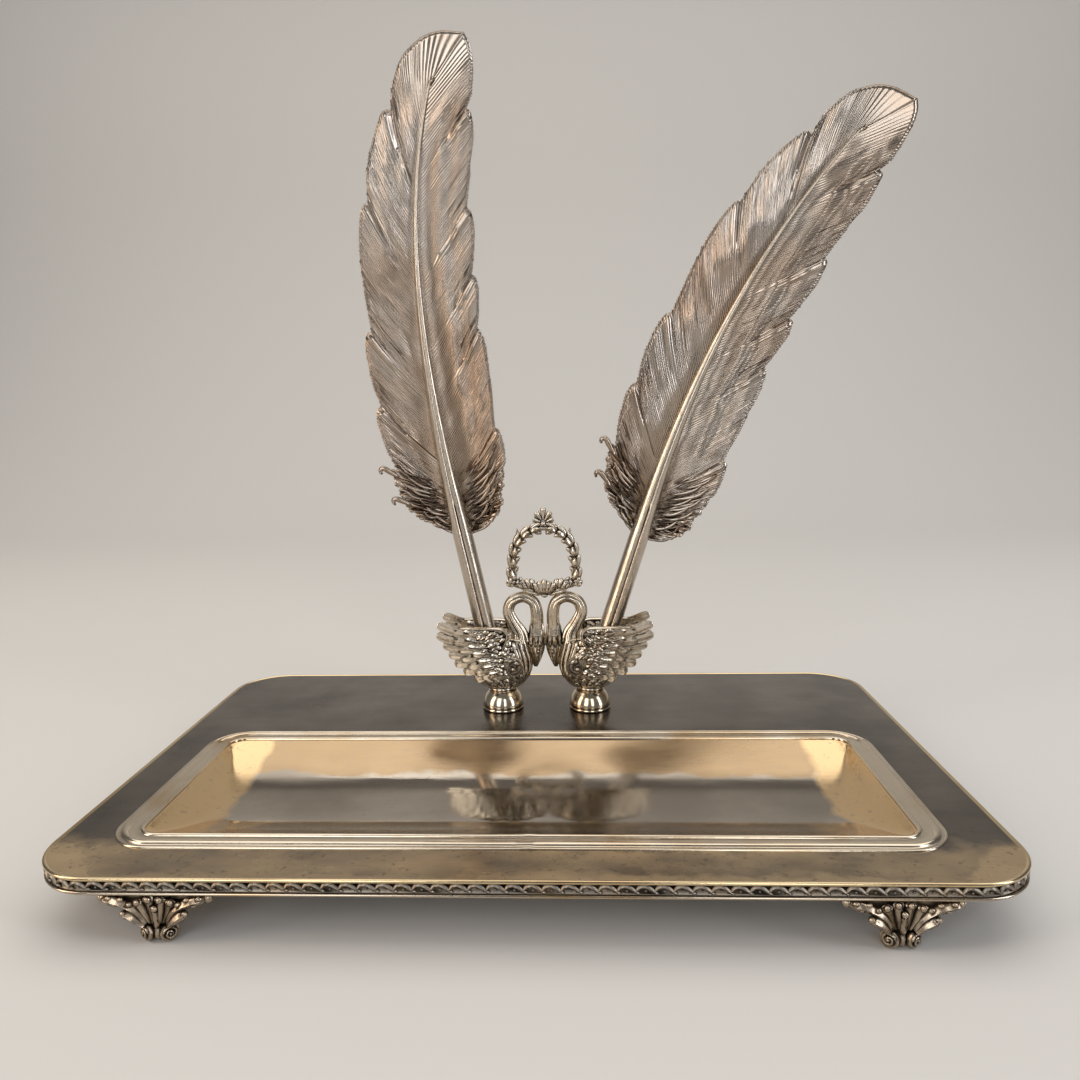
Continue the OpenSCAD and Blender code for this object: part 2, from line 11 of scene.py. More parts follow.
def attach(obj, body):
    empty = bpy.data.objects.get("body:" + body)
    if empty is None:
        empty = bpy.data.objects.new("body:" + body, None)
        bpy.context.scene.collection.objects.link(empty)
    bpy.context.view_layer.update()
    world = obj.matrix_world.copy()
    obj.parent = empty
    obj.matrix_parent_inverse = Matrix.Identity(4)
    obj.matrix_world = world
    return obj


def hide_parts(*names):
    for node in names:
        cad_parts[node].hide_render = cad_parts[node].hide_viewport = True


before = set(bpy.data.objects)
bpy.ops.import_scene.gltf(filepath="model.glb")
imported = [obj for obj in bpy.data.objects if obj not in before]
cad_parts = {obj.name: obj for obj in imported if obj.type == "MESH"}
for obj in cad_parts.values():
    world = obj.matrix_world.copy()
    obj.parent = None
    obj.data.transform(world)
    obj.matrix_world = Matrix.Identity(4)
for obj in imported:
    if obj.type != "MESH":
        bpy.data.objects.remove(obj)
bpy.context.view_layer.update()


# ---- Top plate ----
# A rectangle of rolled silver sheet with a hole for the well, planished flat and polished,
# lying inside the rim wire. Tarnish and years of wiping have turned it grey-brown, made darker
# still as a painted dark reflection of the room, and paler along the front, where hands rub it.

MM = 0.001


def linear(code):
    """An sRGB hex colour as the linear colour that shaders take."""
    parts = [int(code[k : k + 2], 16) / 255 for k in (0, 2, 4)]
    return (*[c / 12.92 if c <= 0.04045 else ((c + 0.055) / 1.055) ** 2.4 for c in parts], 1)


def add(tree, kind, inputs=None, **settings):
    """Adds a shader node. An input takes a value, a node's output, or a node."""
    node = tree.nodes.new("ShaderNode" + kind)
    for name, value in settings.items():
        setattr(node, name, value)
    for name, value in (inputs or {}).items():
        fits = [s for s in node.inputs if s.name == name and s.enabled]
        socket = node.inputs[name] if isinstance(name, int) else fits[0]
        if isinstance(value, bpy.types.Node):
            value = next(s for s in value.outputs if s.enabled)
        if isinstance(value, bpy.types.NodeSocket):
            tree.links.new(value, socket)
        else:
            socket.default_value = value
    return node


def metal(name):
    """A new metal material: itself, its node tree, its shader and its place in metres."""
    made = bpy.data.materials.new(name)
    made.use_nodes = True
    tree = made.node_tree
    shader = tree.nodes["Principled BSDF"]
    shader.inputs["Metallic"].default_value = 1
    place = add(tree, "TexCoord").outputs["Object"]
    return made, tree, shader, place


def maths(tree, operation, *values):
    """A sum worked out by the shader."""
    return add(tree, "Math", dict(enumerate(values)), operation=operation)


def spread(tree, value, low, high, to_low=0, to_high=1):
    """Stretches what lies between low and high to between to_low and to_high."""
    ends = {"From Min": low, "From Max": high, "To Min": to_low, "To Max": to_high}
    return add(tree, "MapRange", {"Value": value, **ends})


def streaks(tree, place, stretch, scale, detail, low, high):
    """Noise stretched along one way, from 0 below low to 1 above high."""
    vector = add(tree, "Mapping", {"Vector": place, "Scale": stretch})
    cloud = add(tree, "TexNoise", {"Vector": vector, "Scale": scale, "Detail": detail})
    return spread(tree, cloud, low, high)


def blotches(tree, place, size, low, high, detail, stretch=(1, 1, 1)):
    """Cloudy patches about size mm across, from 0 where there are none to 1."""
    return streaks(tree, place, stretch, 1 / (size * MM), detail, low, high)


def blend(tree, part, first, second):
    """The first colour where part is 0, the second where it is 1."""
    mix = add(tree, "Mix", {"Factor": part, "A": first, "B": second}, data_type="RGBA")
    return next(s for s in mix.outputs if s.enabled)


def coat(tree, shader, tone, rough):
    """Gives the shader its colour and its roughness."""
    tree.links.new(tone, shader.inputs["Base Color"])
    tree.links.new(rough.outputs[0], shader.inputs["Roughness"])


def dents(tree, shader, height, depth, under=None):
    """Bump on the shader: height 1 stands depth mm over height 0."""
    inputs = {"Height": height, "Strength": 1.0, "Distance": depth * MM}
    if under is not None:
        inputs["Normal"] = under
    bump = add(tree, "Bump", inputs)
    tree.links.new(bump.outputs["Normal"], shader.inputs["Normal"])
    return bump.outputs["Normal"]


def sheet_silver(name, clean, dull, stains_and_reflections, sharpest, softest):
    """Tarnished mirror polish on sheet: it mirrors what stands on it, softly and darkened.
    The sheet was rolled, planished and buffed; wiping left streaks and cloudy patches.
    Its fourth argument adds the marks, real stains on the plate and painted reflections on the
    well; sharpest and softest are the roughness between the patches and in them."""
    made, tree, shader, place = metal(name)
    clouds = blotches(tree, place, 34, 0.34, 0.66, 4)
    wiped = blotches(tree, place, 5, 0.35, 0.75, 3, (0.25, 1, 1))
    specks = blotches(tree, place, 1.6, 0.62, 0.72, 2)
    tone = blend(tree, clouds, clean, dull)
    tone = blend(tree, maths(tree, "MULTIPLY", wiped, 0.35), tone, dull)
    tone, marks = stains_and_reflections(tree, place, tone)
    tone = blend(tree, maths(tree, "MULTIPLY", specks, 0.5), tone, dull)
    rough = spread(tree, clouds, 0, 1, sharpest, softest)
    rough = maths(tree, "MULTIPLY_ADD", wiped, 0.07, rough)
    rough = maths(tree, "MULTIPLY_ADD", marks, 0.12, rough)
    coat(tree, shader, tone, rough)
    waves = blotches(tree, place, 26, 0.2, 0.8, 1)
    under = dents(tree, shader, waves, 0.05)
    scratches = blotches(tree, place, 0.7, 0.4, 0.6, 2, (0.06, 1, 1))
    dents(tree, shader, scratches, 0.0022, under)
    return made


def plate_stains(tree, place, tone):
    """Adds the paler, browner marks: the strip before the well, the front rim and the front
    corners. Gives the new colour and where the marks are."""
    y = add(tree, "SeparateXYZ", {0: place}).outputs["Y"]
    ragged = blotches(tree, place, 9, 0.2, 0.8, 4)
    # the strip starts 56 to 64 mm before the middle and lies in patches
    patches = blotches(tree, place, 18, 0.36, 0.6, 5, (0.5, 1, 1))
    patches = spread(tree, patches, 0, 1, 0.25, 0.85)
    strip = maths(tree, "MULTIPLY_ADD", ragged, 0.012, y)
    strip = spread(tree, strip, -0.056, -0.064)
    strip = maths(tree, "MULTIPLY", strip, patches)
    # along the rim the mark reaches up to 9.5 mm in
    reach = spread(tree, ragged, 0, 1, -0.082, -0.0755)
    rim = maths(tree, "SUBTRACT", reach, y)
    rim = spread(tree, rim, 0, 0.0035, 0, 0.75)
    marks = maths(tree, "MAXIMUM", rim, strip)
    # and each corner has a round mark of nearly 30 mm radius
    for side in (-1, 1):
        corner = (side * 0.137, -0.09, 0.0186)
        gap = add(tree, "VectorMath", {0: place, 1: corner}, operation="DISTANCE").outputs["Value"]
        gap = maths(tree, "MULTIPLY_ADD", ragged, 0.007, gap)
        marks = maths(tree, "MAXIMUM", marks, spread(tree, gap, 0.03, 0.026))
    return blend(tree, marks, tone, linear("C8B08D")), marks


# the plate's dark grey-brown colours are tarnish together with a painted dark reflection of the room
plate_silver = sheet_silver(
    "mirror_silver_tarnish_and_dark_reflection", linear("7D766E"), linear("59534C"), plate_stains, 0.1, 0.24
)
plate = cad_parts["top_plate"]
plate.data.materials.clear()
plate.data.materials.append(plate_silver)


# ---- Pen well ----
# One piece of sheet raised over a stake into a long shallow trough with steeper ends, and
# soldered into the plate from below. It is rubbed brighter where pens have been laid.

PLATE_W, PLATE_D, PLATE_R = 270, 170, 19.5
PLATE_TOP = 18.6
WELL_W, WELL_D, WELL_R = 222.8, 69.6, 5.3
WELL_MIDDLE = Vector((-1.2, -26.3, PLATE_TOP))
SPINE_X = WELL_W / 2 - WELL_D / 2


def edge_length(width, depth, radius):
    """Length of a rounded rectangle's outline."""
    return 2 * (width + depth) - 8 * radius + 2 * pi * radius


def edge_at(width, depth, radius, s):
    """Point and outward direction s mm round a rounded rectangle, from its front left corner."""
    s %= edge_length(width, depth, radius)
    for turn in range(4):
        long, wide = (width, depth) if turn % 2 == 0 else (depth, width)
        straight = long - 2 * radius
        if turn == 3 or s <= straight + radius * pi / 2:
            break
        s -= straight + radius * pi / 2
    if s <= straight:
        point, out = Vector((s - straight / 2, -wide / 2)), Vector((0, -1))
    else:
        angle = (s - straight) / radius - pi / 2
        out = Vector((cos(angle), sin(angle)))
        point = Vector((straight / 2, radius - wide / 2)) + out * radius
    turned = Matrix.Rotation(turn * pi / 2, 2)
    return turned @ point, turned @ out


def stations(width, depth, radius, corner, straight):
    """Points and outward directions all round, corner of them in each corner and straight of
    them on each side. Ends at its start."""
    found, s = [], 0
    for turn in range(4):
        long = (width if turn % 2 == 0 else depth) - 2 * radius
        bend = radius * pi / 2
        steps = [long * k / straight for k in range(straight)]
        steps += [long + bend * k / corner for k in range(corner)]
        found += [edge_at(width, depth, radius, s + step) for step in steps]
        s += long + bend
    return found + [found[0]]


def skin(mesh, columns, rows, place, closed=True, capped=False):
    """Adds a grid bent into shape: place(a, b) gives the point for a and b from 0 to 1.
    A closed one joins its two sides and any end that narrows to a point; a capped one also
    gets a flat face at each open end."""
    uv = mesh.loops.layers.uv.verify()
    made = bmesh.ops.create_grid(mesh, x_segments=columns, y_segments=rows, size=0.5)["verts"]
    for face in {f for v in made for f in v.link_faces}:
        for loop in face.loops:
            loop[uv].uv = (loop.vert.co.x + 0.5, loop.vert.co.y + 0.5)
    for v in made:
        v.co = place(v.co.x + 0.5, v.co.y + 0.5)
    if closed:
        faces = {f for v in made for f in v.link_faces}
        bmesh.ops.remove_doubles(mesh, verts=made, dist=0.001)
    if capped:
        rims = {e for f in faces if f.is_valid for e in f.edges if e.is_boundary}
        bmesh.ops.holes_fill(mesh, edges=list(rims))


def piece(name, mesh, material, body, nodes, hollow=0.0, sharp=50, normals=True):
    """Makes the finished piece from a mesh in millimetres. With hollow, each point keeps how
    shut in it is by metal within that many mm, from 0 in the open to 1 in a deep recess."""
    mesh.normal_update()
    if normals:
        bmesh.ops.recalc_face_normals(mesh, faces=mesh.faces)
    # this is baked ambient occlusion; the materials darken colour by it, which paints shade into the
    # hollows
    if hollow:
        mesh.normal_update()
        depth = mesh.verts.layers.float.new("hollow")
        tree = BVHTree.FromBMesh(mesh)
        golden = 2.4
        around = [(cos(golden * k), sin(golden * k), 0.35 + 0.13 * (k % 8)) for k in range(14)]
        for v in mesh.verts:
            n = v.normal
            side = n.orthogonal().normalized()
            other = n.cross(side)
            start = v.co + n * 0.03
            shut = 0
            for x, y, z in around:
                way = (side * x + other * y + n * z).normalized()
                hit = tree.ray_cast(start, way, hollow)
                if hit[0] is not None:
                    shut += 1 - 0.5 * hit[3] / hollow
            v[depth] = shut / len(around)
    bmesh.ops.scale(mesh, vec=(MM, MM, MM), verts=mesh.verts)
    data = bpy.data.meshes.new(name)
    mesh.to_mesh(data)
    mesh.free()
    data.shade_smooth()
    data.set_sharp_from_angle(angle=radians(sharp))
    data.materials.append(material)
    made = bpy.data.objects.new(name, data)
    bpy.context.scene.collection.objects.link(made)
    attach(made, body)
    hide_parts(*nodes)
    return made


def well_height(x, y):
    """Depth of the trough: a wide hollow front to back and a tight one at each end."""
    sink, end_r, soft = 8.5, 16.0, 1.1
    side_r = (WELL_D**2 / 4 + sink**2) / (2 * sink)
    side = side_r - sink - sqrt(side_r**2 - y * y)
    flat = WELL_W / 2 - sqrt(end_r**2 - (end_r - sink) ** 2)
    past = max(0, abs(x) - flat)
    end = end_r - sink - sqrt(max(0, end_r**2 - past * past))
    gap = max(0, 1 - abs(side - end) / soft)
    return min(0, max(side, end) + soft * gap * gap / 4 * min(1, -side / 2) * min(1, -end / 2))


def well_point(a, b):
    """A point of the trough: b is 0 on its middle line and 1 at its edge, which stays level
    round the corners."""
    point = well_edge[round(a * (len(well_edge) - 1))][0]
    spine = Vector((max(-SPINE_X, min(SPINE_X, point.x)), 0))
    flat = spine.lerp(point, 1 - (1 - b) ** 1.25)
    height = well_height(flat.x, flat.y) - well_height(point.x, point.y) * b**12
    return WELL_MIDDLE + Vector((flat.x, flat.y, height))


well_edge = stations(WELL_W, WELL_D, WELL_R, 12, 60)
well_mesh = bmesh.new()
skin(well_mesh, len(well_edge) - 1, 44, well_point)
well_mesh.normal_update()
bmesh.ops.recalc_face_normals(well_mesh, faces=well_mesh.faces)
if sum(f.normal.z for f in well_mesh.faces) < 0:
    bmesh.ops.reverse_faces(well_mesh, faces=well_mesh.faces)


def well_painted_reflections(tree, place, tone):
    """Adds painted reflections of warm light: a tan one on the back slope and a pale gold one on
    the ends. Gives the new colour and where these painted reflections are."""
    apart = add(tree, "SeparateXYZ", {0: place})
    ragged = blotches(tree, place, 16, 0.2, 0.8, 4)
    # painted reflection from about 12 mm before the plate's middle to the well's back edge
    back = maths(tree, "MULTIPLY_ADD", ragged, -0.009, apart.outputs["Y"])
    back = spread(tree, back, -0.0125, -0.0105, 0, 0.85)
    # painted reflection on the last 20 mm at each end; the well's middle lies 1.2 mm to the left
    ends = maths(tree, "ABSOLUTE", maths(tree, "ADD", apart.outputs["X"], 0.0012))
    ends = maths(tree, "MULTIPLY_ADD", ragged, -0.007, ends)
    ends = spread(tree, ends, 0.0925, 0.095, 0, 0.9)
    tone = blend(tree, back, tone, linear("AC926F"))
    tone = blend(tree, ends, tone, linear("DDBE90"))
    return tone, maths(tree, "MAXIMUM", back, ends)


# the well's back slope and ends get painted reflections of warm light
well_silver = sheet_silver(
    "well_silver_rubbed", linear("B5AC9F"), linear("958C80"), well_painted_reflections, 0.035, 0.12
)
well = piece("pen_well", well_mesh, well_silver, "stand", ["pen_well"], normals=False)
wall = well.modifiers.new("sheet", "SOLIDIFY")
wall.thickness = 1 * MM
wall.offset = -1


# ---- Moulding, rim wire and lower bead ----
# Drawn silver wire: a moulded strip bent round the well and soldered with one butt joint in
# front, a round wire along the plate's edge, and a plain bead under the ornamented band.


def drawn_silver(name, bright, dark, size):
    """Bright drawn wire: hard highlights on the rounds, brown tarnish and painted shade in the
    grooves, both following how shut in each point is.
    It was pulled through a drawplate, bent and polished by hand after soldering."""
    made, tree, shader, place = metal(name)
    shut = add(tree, "Attribute", attribute_name="hollow").outputs["Fac"]
    ragged = blotches(tree, place, size, 0.3, 0.7, 4)
    patina_and_painted_shade = maths(tree, "MULTIPLY_ADD", ragged, 0.22, shut)
    patina_and_painted_shade = spread(tree, patina_and_painted_shade, 0.22, 0.62)
    # darker by how shut in each point is: tarnish in the grooves together with painted shade
    tone = blend(tree, patina_and_painted_shade, bright, dark)
    warm = blotches(tree, place, 30, 0.5, 0.75, 3)
    tone = blend(tree, warm, tone, linear("B69C78"))
    coat(tree, shader, tone, spread(tree, patina_and_painted_shade, 0, 1, 0.16, 0.5))
    lumps = blotches(tree, place, 3, 0.3, 0.7, 2)
    dents(tree, shader, lumps, 0.012)
    return made


def arc(x, z, r, start, end, steps):
    """Profile points on an arc from start to end, in degrees from the profile's +X."""
    turns = [radians(start + (end - start) * k / steps) for k in range(steps + 1)]
    return [(x + r * cos(t), z + r * sin(t)) for t in turns]


def moulding(width, depth, radius, middle, profile, straight=40, flaw=None):
    """Runs a closed profile, given as distance outside the outline and height, all round.
    flaw moves a profile point at a place on the outline."""
    edge = stations(width, depth, radius, 14, straight)
    profile = profile + [profile[0]]
    mesh = bmesh.new()

    def place(a, b):
        point, out = edge[round(a * (len(edge) - 1))]
        x, z = profile[round(b * (len(profile) - 1))]
        if flaw:
            x, z = flaw(point, x, z)
        return middle + Vector((point.x + out.x * x, point.y + out.y * x, z))

    skin(mesh, len(edge) - 1, len(profile) - 1, place)
    return mesh


border_profile = (
    [(0, -0.35), (0.02, 0)]
    + arc(0.8, 0, 0.8, 175, 22, 10)
    + [(1.9, 0.24), (2.8, 0.2), (3.6, 0.26), (4.0, 0.36)]
    + arc(5.3, -0.2, 1.2, 152, 28, 12)
    + [(6.6, 0.3), (7.0, 0.28)]
    + arc(7.55, 0, 0.45, 145, 0, 8)
    + [(7.9, -0.02)]
)


def butt_joint(point, x, z):
    """The strip's two ends meet in front, where the solder stands a little proud."""
    near = exp(-(((point.x - 1.5) / 1.6) ** 2)) if point.y < 0 else 0
    return x, z + (0.18 * near if 0.05 < z < 0.9 else -0.1 * near if z > 0.9 else 0)


moulding_silver = drawn_silver("drawn_silver_moulding", linear("CFC2AE"), linear("54463A"), 6)
border_mesh = moulding(
    WELL_W, WELL_D, WELL_R, WELL_MIDDLE, border_profile, straight=90, flaw=butt_joint
)
piece("well_border", border_mesh, moulding_silver, "stand", ["well_border"], 1.6)

wire_profile = (
    [(-1.34, -0.78), (-1.34, 0.0), (-1.1, 0.02)] + arc(-0.55, -0.25, 0.55, 130, -130, 14)
)
wire_silver = drawn_silver("drawn_silver_rim", linear("D2BD97"), linear("6E5A42"), 5)
wire_mesh = moulding(PLATE_W, PLATE_D, PLATE_R, Vector((0, 0, PLATE_TOP)), wire_profile)
piece("rim_wire", wire_mesh, wire_silver, "stand", ["rim_wire"], 1.0)

bead_profile = [(-1.55, 0), (-1.55, 0.9)] + arc(-0.55, 0.45, 0.45, 90, -90, 12)
bead_silver = drawn_silver("drawn_silver_bead", linear("B9AC9A"), linear("4A4038"), 4)
bead_mesh = moulding(PLATE_W, PLATE_D, PLATE_R, Vector((0, 0, 13.9)), bead_profile)
piece("lower_bead", bead_mesh, bead_silver, "stand", ["lower_bead"], 1.0)


# ---- Edge band ----
# A rolled gallery strip of running S-shaped ribs, each passing under the next, with a bead in
# every eye. It was darkened with liver of sulphur and only its ribs are rubbed bright; the dark in its
# recesses is that oxide together with painted shade.


def cast_silver(name, bright, dark, low, high, shine=0.24):
    """Oxidised cast silver: black-brown in the hollows, which is oxide and painted shade together,
    rubbed bright on every high point.
    It was cast in sand, chased, darkened and then rubbed back with a cloth. It darkens from
    low to high of how shut in a point is; shine is the roughness of its bright parts."""
    made, tree, shader, place = metal(name)
    shut = add(tree, "Attribute", attribute_name="hollow").outputs["Fac"]
    ragged = blotches(tree, place, 3.5, 0.3, 0.7, 4)
    patina_and_painted_shade = maths(tree, "MULTIPLY_ADD", ragged, 0.2, shut)
    patina_and_painted_shade = spread(tree, patina_and_painted_shade, low, high)
    # darker by how shut in each point is: oxide in the hollows together with painted shade
    tone = blend(tree, patina_and_painted_shade, bright, dark)
    warm = blotches(tree, place, 14, 0.45, 0.75, 3)
    tone = blend(tree, maths(tree, "MULTIPLY", warm, 0.5), tone, linear("A08A6E"))
    coat(tree, shader, tone, spread(tree, patina_and_painted_shade, 0, 1, shine, 0.62))
    pores = blotches(tree, place, 1.4, 0.3, 0.75, 4)
    dents(tree, shader, pores, 0.03)
    return made


def along(points, part):
    """The point at a part, from 0 to 1, of a smooth curve through the points."""
    last = len(points) - 1
    step = min(max(part, 0) * last, last - 1e-9)
    k, t = int(step), step % 1
    p, q, r, s = (np.asarray(points[max(0, min(last, k + j))], float) for j in (-1, 0, 1, 2))
    bend, twist = 2 * p - 5 * q + 4 * r - s, 3 * (q - r) + s - p
    return 0.5 * (2 * q + (r - p) * t + bend * t**2 + twist * t**3)


def leaf(mesh, spine, width, thick, face=(0, -1, 0), shape=(0.5, 0.9, 1, 0.9, 0.7), rib=0.0,
         cup=0.0, around=10, steps=8):
    """Adds one closed leaf. Its spine runs from root to tip and its front looks along face;
    shape is its width from root to tip, rib a ridge along its middle, cup how far its edges
    stand forward."""
    face = Vector(face)

    def place(a, b):
        b = 1 - (1 - b) ** 1.4
        middle = Vector(along(spine, b))
        ahead = (Vector(along(spine, b + 0.02)) - Vector(along(spine, b - 0.02))).normalized()
        side = ahead.cross(face).normalized()
        front = side.cross(ahead).normalized()
        ends = min(1, (b / 0.06) ** 0.5) * max(0, 1 - (max(0, b - 0.82) / 0.18) ** 2) ** 0.5
        half = width / 2 * float(along([(w,) for w in shape], b)[0]) * ends
        x, y = cos(2 * pi * a), sin(2 * pi * a)
        height = thick / 2 * y * ends * (1 + rib * max(0, 1 - abs(x) * 2.2) * (y > 0))
        return middle + side * half * x + front * (height + cup * x * x * half)

    skin(mesh, around, steps, place)


def ball(mesh, middle, r, squash=(1, 1, 1), fine=1):
    """Adds a small bead."""
    matrix = Matrix.Translation(middle) @ Matrix.Diagonal((*squash, 1))
    bmesh.ops.create_icosphere(mesh, subdivisions=fine, radius=r, matrix=matrix)


band_z = 14.8
band_mesh = moulding(
    PLATE_W, PLATE_D, PLATE_R, Vector((0, 0, band_z)),
    [(-1.6, 0), (-1.6, 3), (-1.3, 3), (-0.9, 2.95), (-0.95, 2.7), (-1.15, 2.5), (-1.15, 0.5),
     (-0.95, 0.3), (-0.9, 0.05), (-1.3, 0)],
)
rib_count = 176
rib_pitch = edge_length(PLATE_W, PLATE_D, PLATE_R) / rib_count
rib_line = [(-0.4, 0.35), (0.5, 1.0), (1.6, 2.3), (2.9, 2.5), (4.4, 1.75), (5.6, 0.8), (6.6, 0.4)]
for k in range(rib_count):
    spine, s0 = [], k * rib_pitch
    for j, (s, h) in enumerate(rib_line):
        point, out = edge_at(PLATE_W, PLATE_D, PLATE_R, s0 + s)
        lift = -1.05 + 0.34 * sin(pi * j / 6) ** 0.7
        spine.append((point.x + out.x * lift, point.y + out.y * lift, band_z + h))
    middle, out = edge_at(PLATE_W, PLATE_D, PLATE_R, s0 + 3.1)
    leaf(band_mesh, spine, 1.15, 0.85, (out.x, out.y, 0), (0.7, 1, 1.15, 1, 0.7), 0.3, 0, 8, 8)
    point = middle - out * 0.95
    ball(band_mesh, (point.x, point.y, band_z + 1.15), 0.42)
band_silver = cast_silver("band_silver_oxidised", linear("857D72"), linear("2B2621"), 0.26, 0.7, 0.38)
piece("edge_band", band_mesh, band_silver, "stand", ["edge_band"], 0.9)


# ---- Feet ----
# Four sand-cast feet, soldered under the edge: a fan of acanthus over a ram's-horn scroll
# that stands on the table, and a leafy arm to each side that ends in a round knob.

FOOT_X = 97
foot_silver = cast_silver("foot_silver_oxidised", linear("AD9E8B"), linear("262019"), 0.16, 0.52)


def foot_roll(a, b):
    """The scroll, lying across the foot and worn flat where it stands."""
    x = -2.9 + 5.8 * b
    shape = [(2.0,), (2.7,), (2.85,), (2.3,), (2.8,), (2.95,), (2.8,), (2.3,), (2.85,), (2.7,), (2.0,)]
    r = float(along(shape, b)[0])
    turn = 2 * pi * a
    return Vector((x, 3.5 + r * cos(turn), max(0, 2.7 + r * sin(turn))))


def volute(mesh, side):
    """One end of the scroll, turned half to the front: a thick disc with a raised spiral."""
    middle = Vector((side * 3.1, 1.75, 2.8))
    face = Vector((side * 0.6, -0.8, 0))
    across = Vector((0.8, side * 0.6, 0))
    rings = [(-1.6, 1.5), (-0.6, 2.35), (0.25, 2.45), (0.55, 2.2), (0.6, 0.3)]

    def disc(a, b):
        out, r = along(rings, b)
        turn = 2 * pi * a
        point = middle + face * out + across * r * cos(turn) + Vector((0, 0, r * sin(turn)))
        point.z = max(0, point.z)
        return point

    skin(mesh, 28, 8, disc, capped=True)
    spine = []
    for k in range(15):
        turn, r = k / 14 * 3.4 * pi, 1.95 - 1.5 * (k / 14) ** 0.8
        spine.append(middle + face * (0.65 + 0.03 * k) - across * side * r * cos(turn)
                     + Vector((0, 0, r * sin(turn))))
    leaf(mesh, spine, 0.8, 0.9, face, (0.9, 1, 1, 0.9, 0.8), 0, 0, 8, 40)
    ball(mesh, middle + face * 1.05, 0.6)


def foot_backing(a, b):
    """The solid web behind the leaves."""
    half = float(along([(2.9,), (3.1,), (4.3,), (6.6,), (6.9,), (11.5,), (12.5,)], b)[0])
    turn = 2 * pi * a
    x = half * max(-1, min(1, 1.25 * cos(turn)))
    return Vector((x, 2.6 + 0.6 * max(-1, min(1, 1.6 * sin(turn))), 2.2 + 11.7 * b))


def foot_tab(a, b):
    """The tab that is soldered under the sheet."""
    turn = 2 * pi * a
    x, y = (max(-1, min(1, 1.4 * w)) for w in (cos(turn), sin(turn)))
    return Vector((4 * x, 2.45 + 0.75 * y, 12.0 + 5.75 * b))


def build_foot(name, right, back):
    """right and back are 1 for the right and back feet, -1 for the others."""
    mesh = bmesh.new()
    skin(mesh, 28, 30, foot_roll, capped=True)
    skin(mesh, 20, 14, foot_backing, capped=True)
    skin(mesh, 16, 2, foot_tab, capped=True)
    for side in (-1, 1):
        volute(mesh, side)
        leaf(mesh, [(side * 2.6, 1.6, 5.0), (side * 4.4, 1.2, 8.2), (side * 7.5, 0.8, 10.8),
                    (side * 11.2, 0.9, 12.1), (side * 14.2, 1.4, 12.5)],
             2.6, 1.8, shape=(0.7, 1.1, 0.9, 1.05, 0.8), rib=0.5, around=12, steps=16)
        leaf(mesh, [(side * 3.2, 1.4, 4.6), (side * 5.4, 0.6, 7.0), (side * 8.4, 0.3, 8.9)],
             2.3, 1.7, shape=(0.8, 1, 1.1, 1.2, 0.9), rib=0.5, around=12, steps=10)
        ball(mesh, (side * 8.3, 0.2, 8.9), 0.95, fine=2)
        for x, z in ((6.6, 11.2), (8.9, 12.6), (10.6, 11.3), (12.2, 12.9)):
            ball(mesh, (side * x, 0.6, z), 0.75, (1.3, 1, 1), 2)
        ball(mesh, (side * 14.35, 1.75, 12.65), 1.25, fine=3)
        for tip, lean in (((1.5, 0.7, 12.7), 0.2), ((4.3, 0.5, 12.0), 0.6), ((6.6, 0.8, 10.6), 1.0)):
            x, y, z = tip
            leaf(mesh, [(side * (0.6 + lean), 1.9, 4.6), (side * (0.7 * x + 0.3 * lean), 1.6, 8.4),
                        (side * x, y + 0.5, z - 0.7), (side * x * 1.05, y - 0.1, z)],
                 2.5, 1.7, shape=(0.6, 0.8, 1.0, 1.2, 1.2), rib=0.4, around=12, steps=10)
            ball(mesh, (side * x * 1.05, y, z - 0.15), 0.95, fine=2)
    leaf(mesh, [(0, 1.5, 3.8), (0, 0.9, 7.0), (0, 0.6, 10.2)], 1.9, 1.6, shape=(0.7, 1, 1, 0.9, 0.8),
         rib=0.4, around=12, steps=9)
    ball(mesh, (0, 0.55, 10.1), 0.95, fine=2)
    for v in mesh.verts:
        x, y, z = v.co
        rough = noise.noise_vector((x * 0.9, y * 0.9, z * 0.9)) * 0.22 * min(1, z / 3)
        x, y, z = x + rough.x, y + rough.y, z + 0.5 * rough.z
        v.co = (right * FOOT_X + x, back * (PLATE_D / 2 - y), z)
    piece(name, mesh, foot_silver, "stand", [name], 1.2)


noise.seed_set(5)
for name, right, back in (
    ("foot_front_left", -1, -1), ("foot_front_right", 1, -1),
    ("foot_back_left", -1, 1), ("foot_back_right", 1, 1),
):
    build_foot(name, right, back)


# ---- Pedestals ----
# Two spun silver bells that the swans stand on, each held by the stud that runs through it.
# The chuck left fine rings round them, and their feet are burnished against the plate.

pedestal_silver = drawn_silver("spun_silver", linear("D6C9B2"), linear("6A5540"), 5)
pedestal_profile = [
    (1.55, 0), (7.5, 0), (8.0, 0.15), (8.25, 0.5), (8.2, 0.9), (8.05, 1.1), (8.2, 1.35), (8.1, 2.4),
    (7.8, 3.6), (7.35, 4.8), (6.75, 5.9), (6.1, 6.7), (5.65, 7.1), (5.5, 7.3), (5.65, 7.45),
    (5.65, 7.75), (5.4, 7.9), (5.0, 8), (1.55, 8), (1.55, 4), (1.55, 0),
]


def place_swan(mesh, side):
    """Moves a mesh from the swan's own place, head to +X, to the left or right swan."""
    for v in mesh.verts:
        v.co = (SWAN_X[side] - side * v.co.x, SWAN_Y + v.co.y, PLATE_TOP + v.co.z)


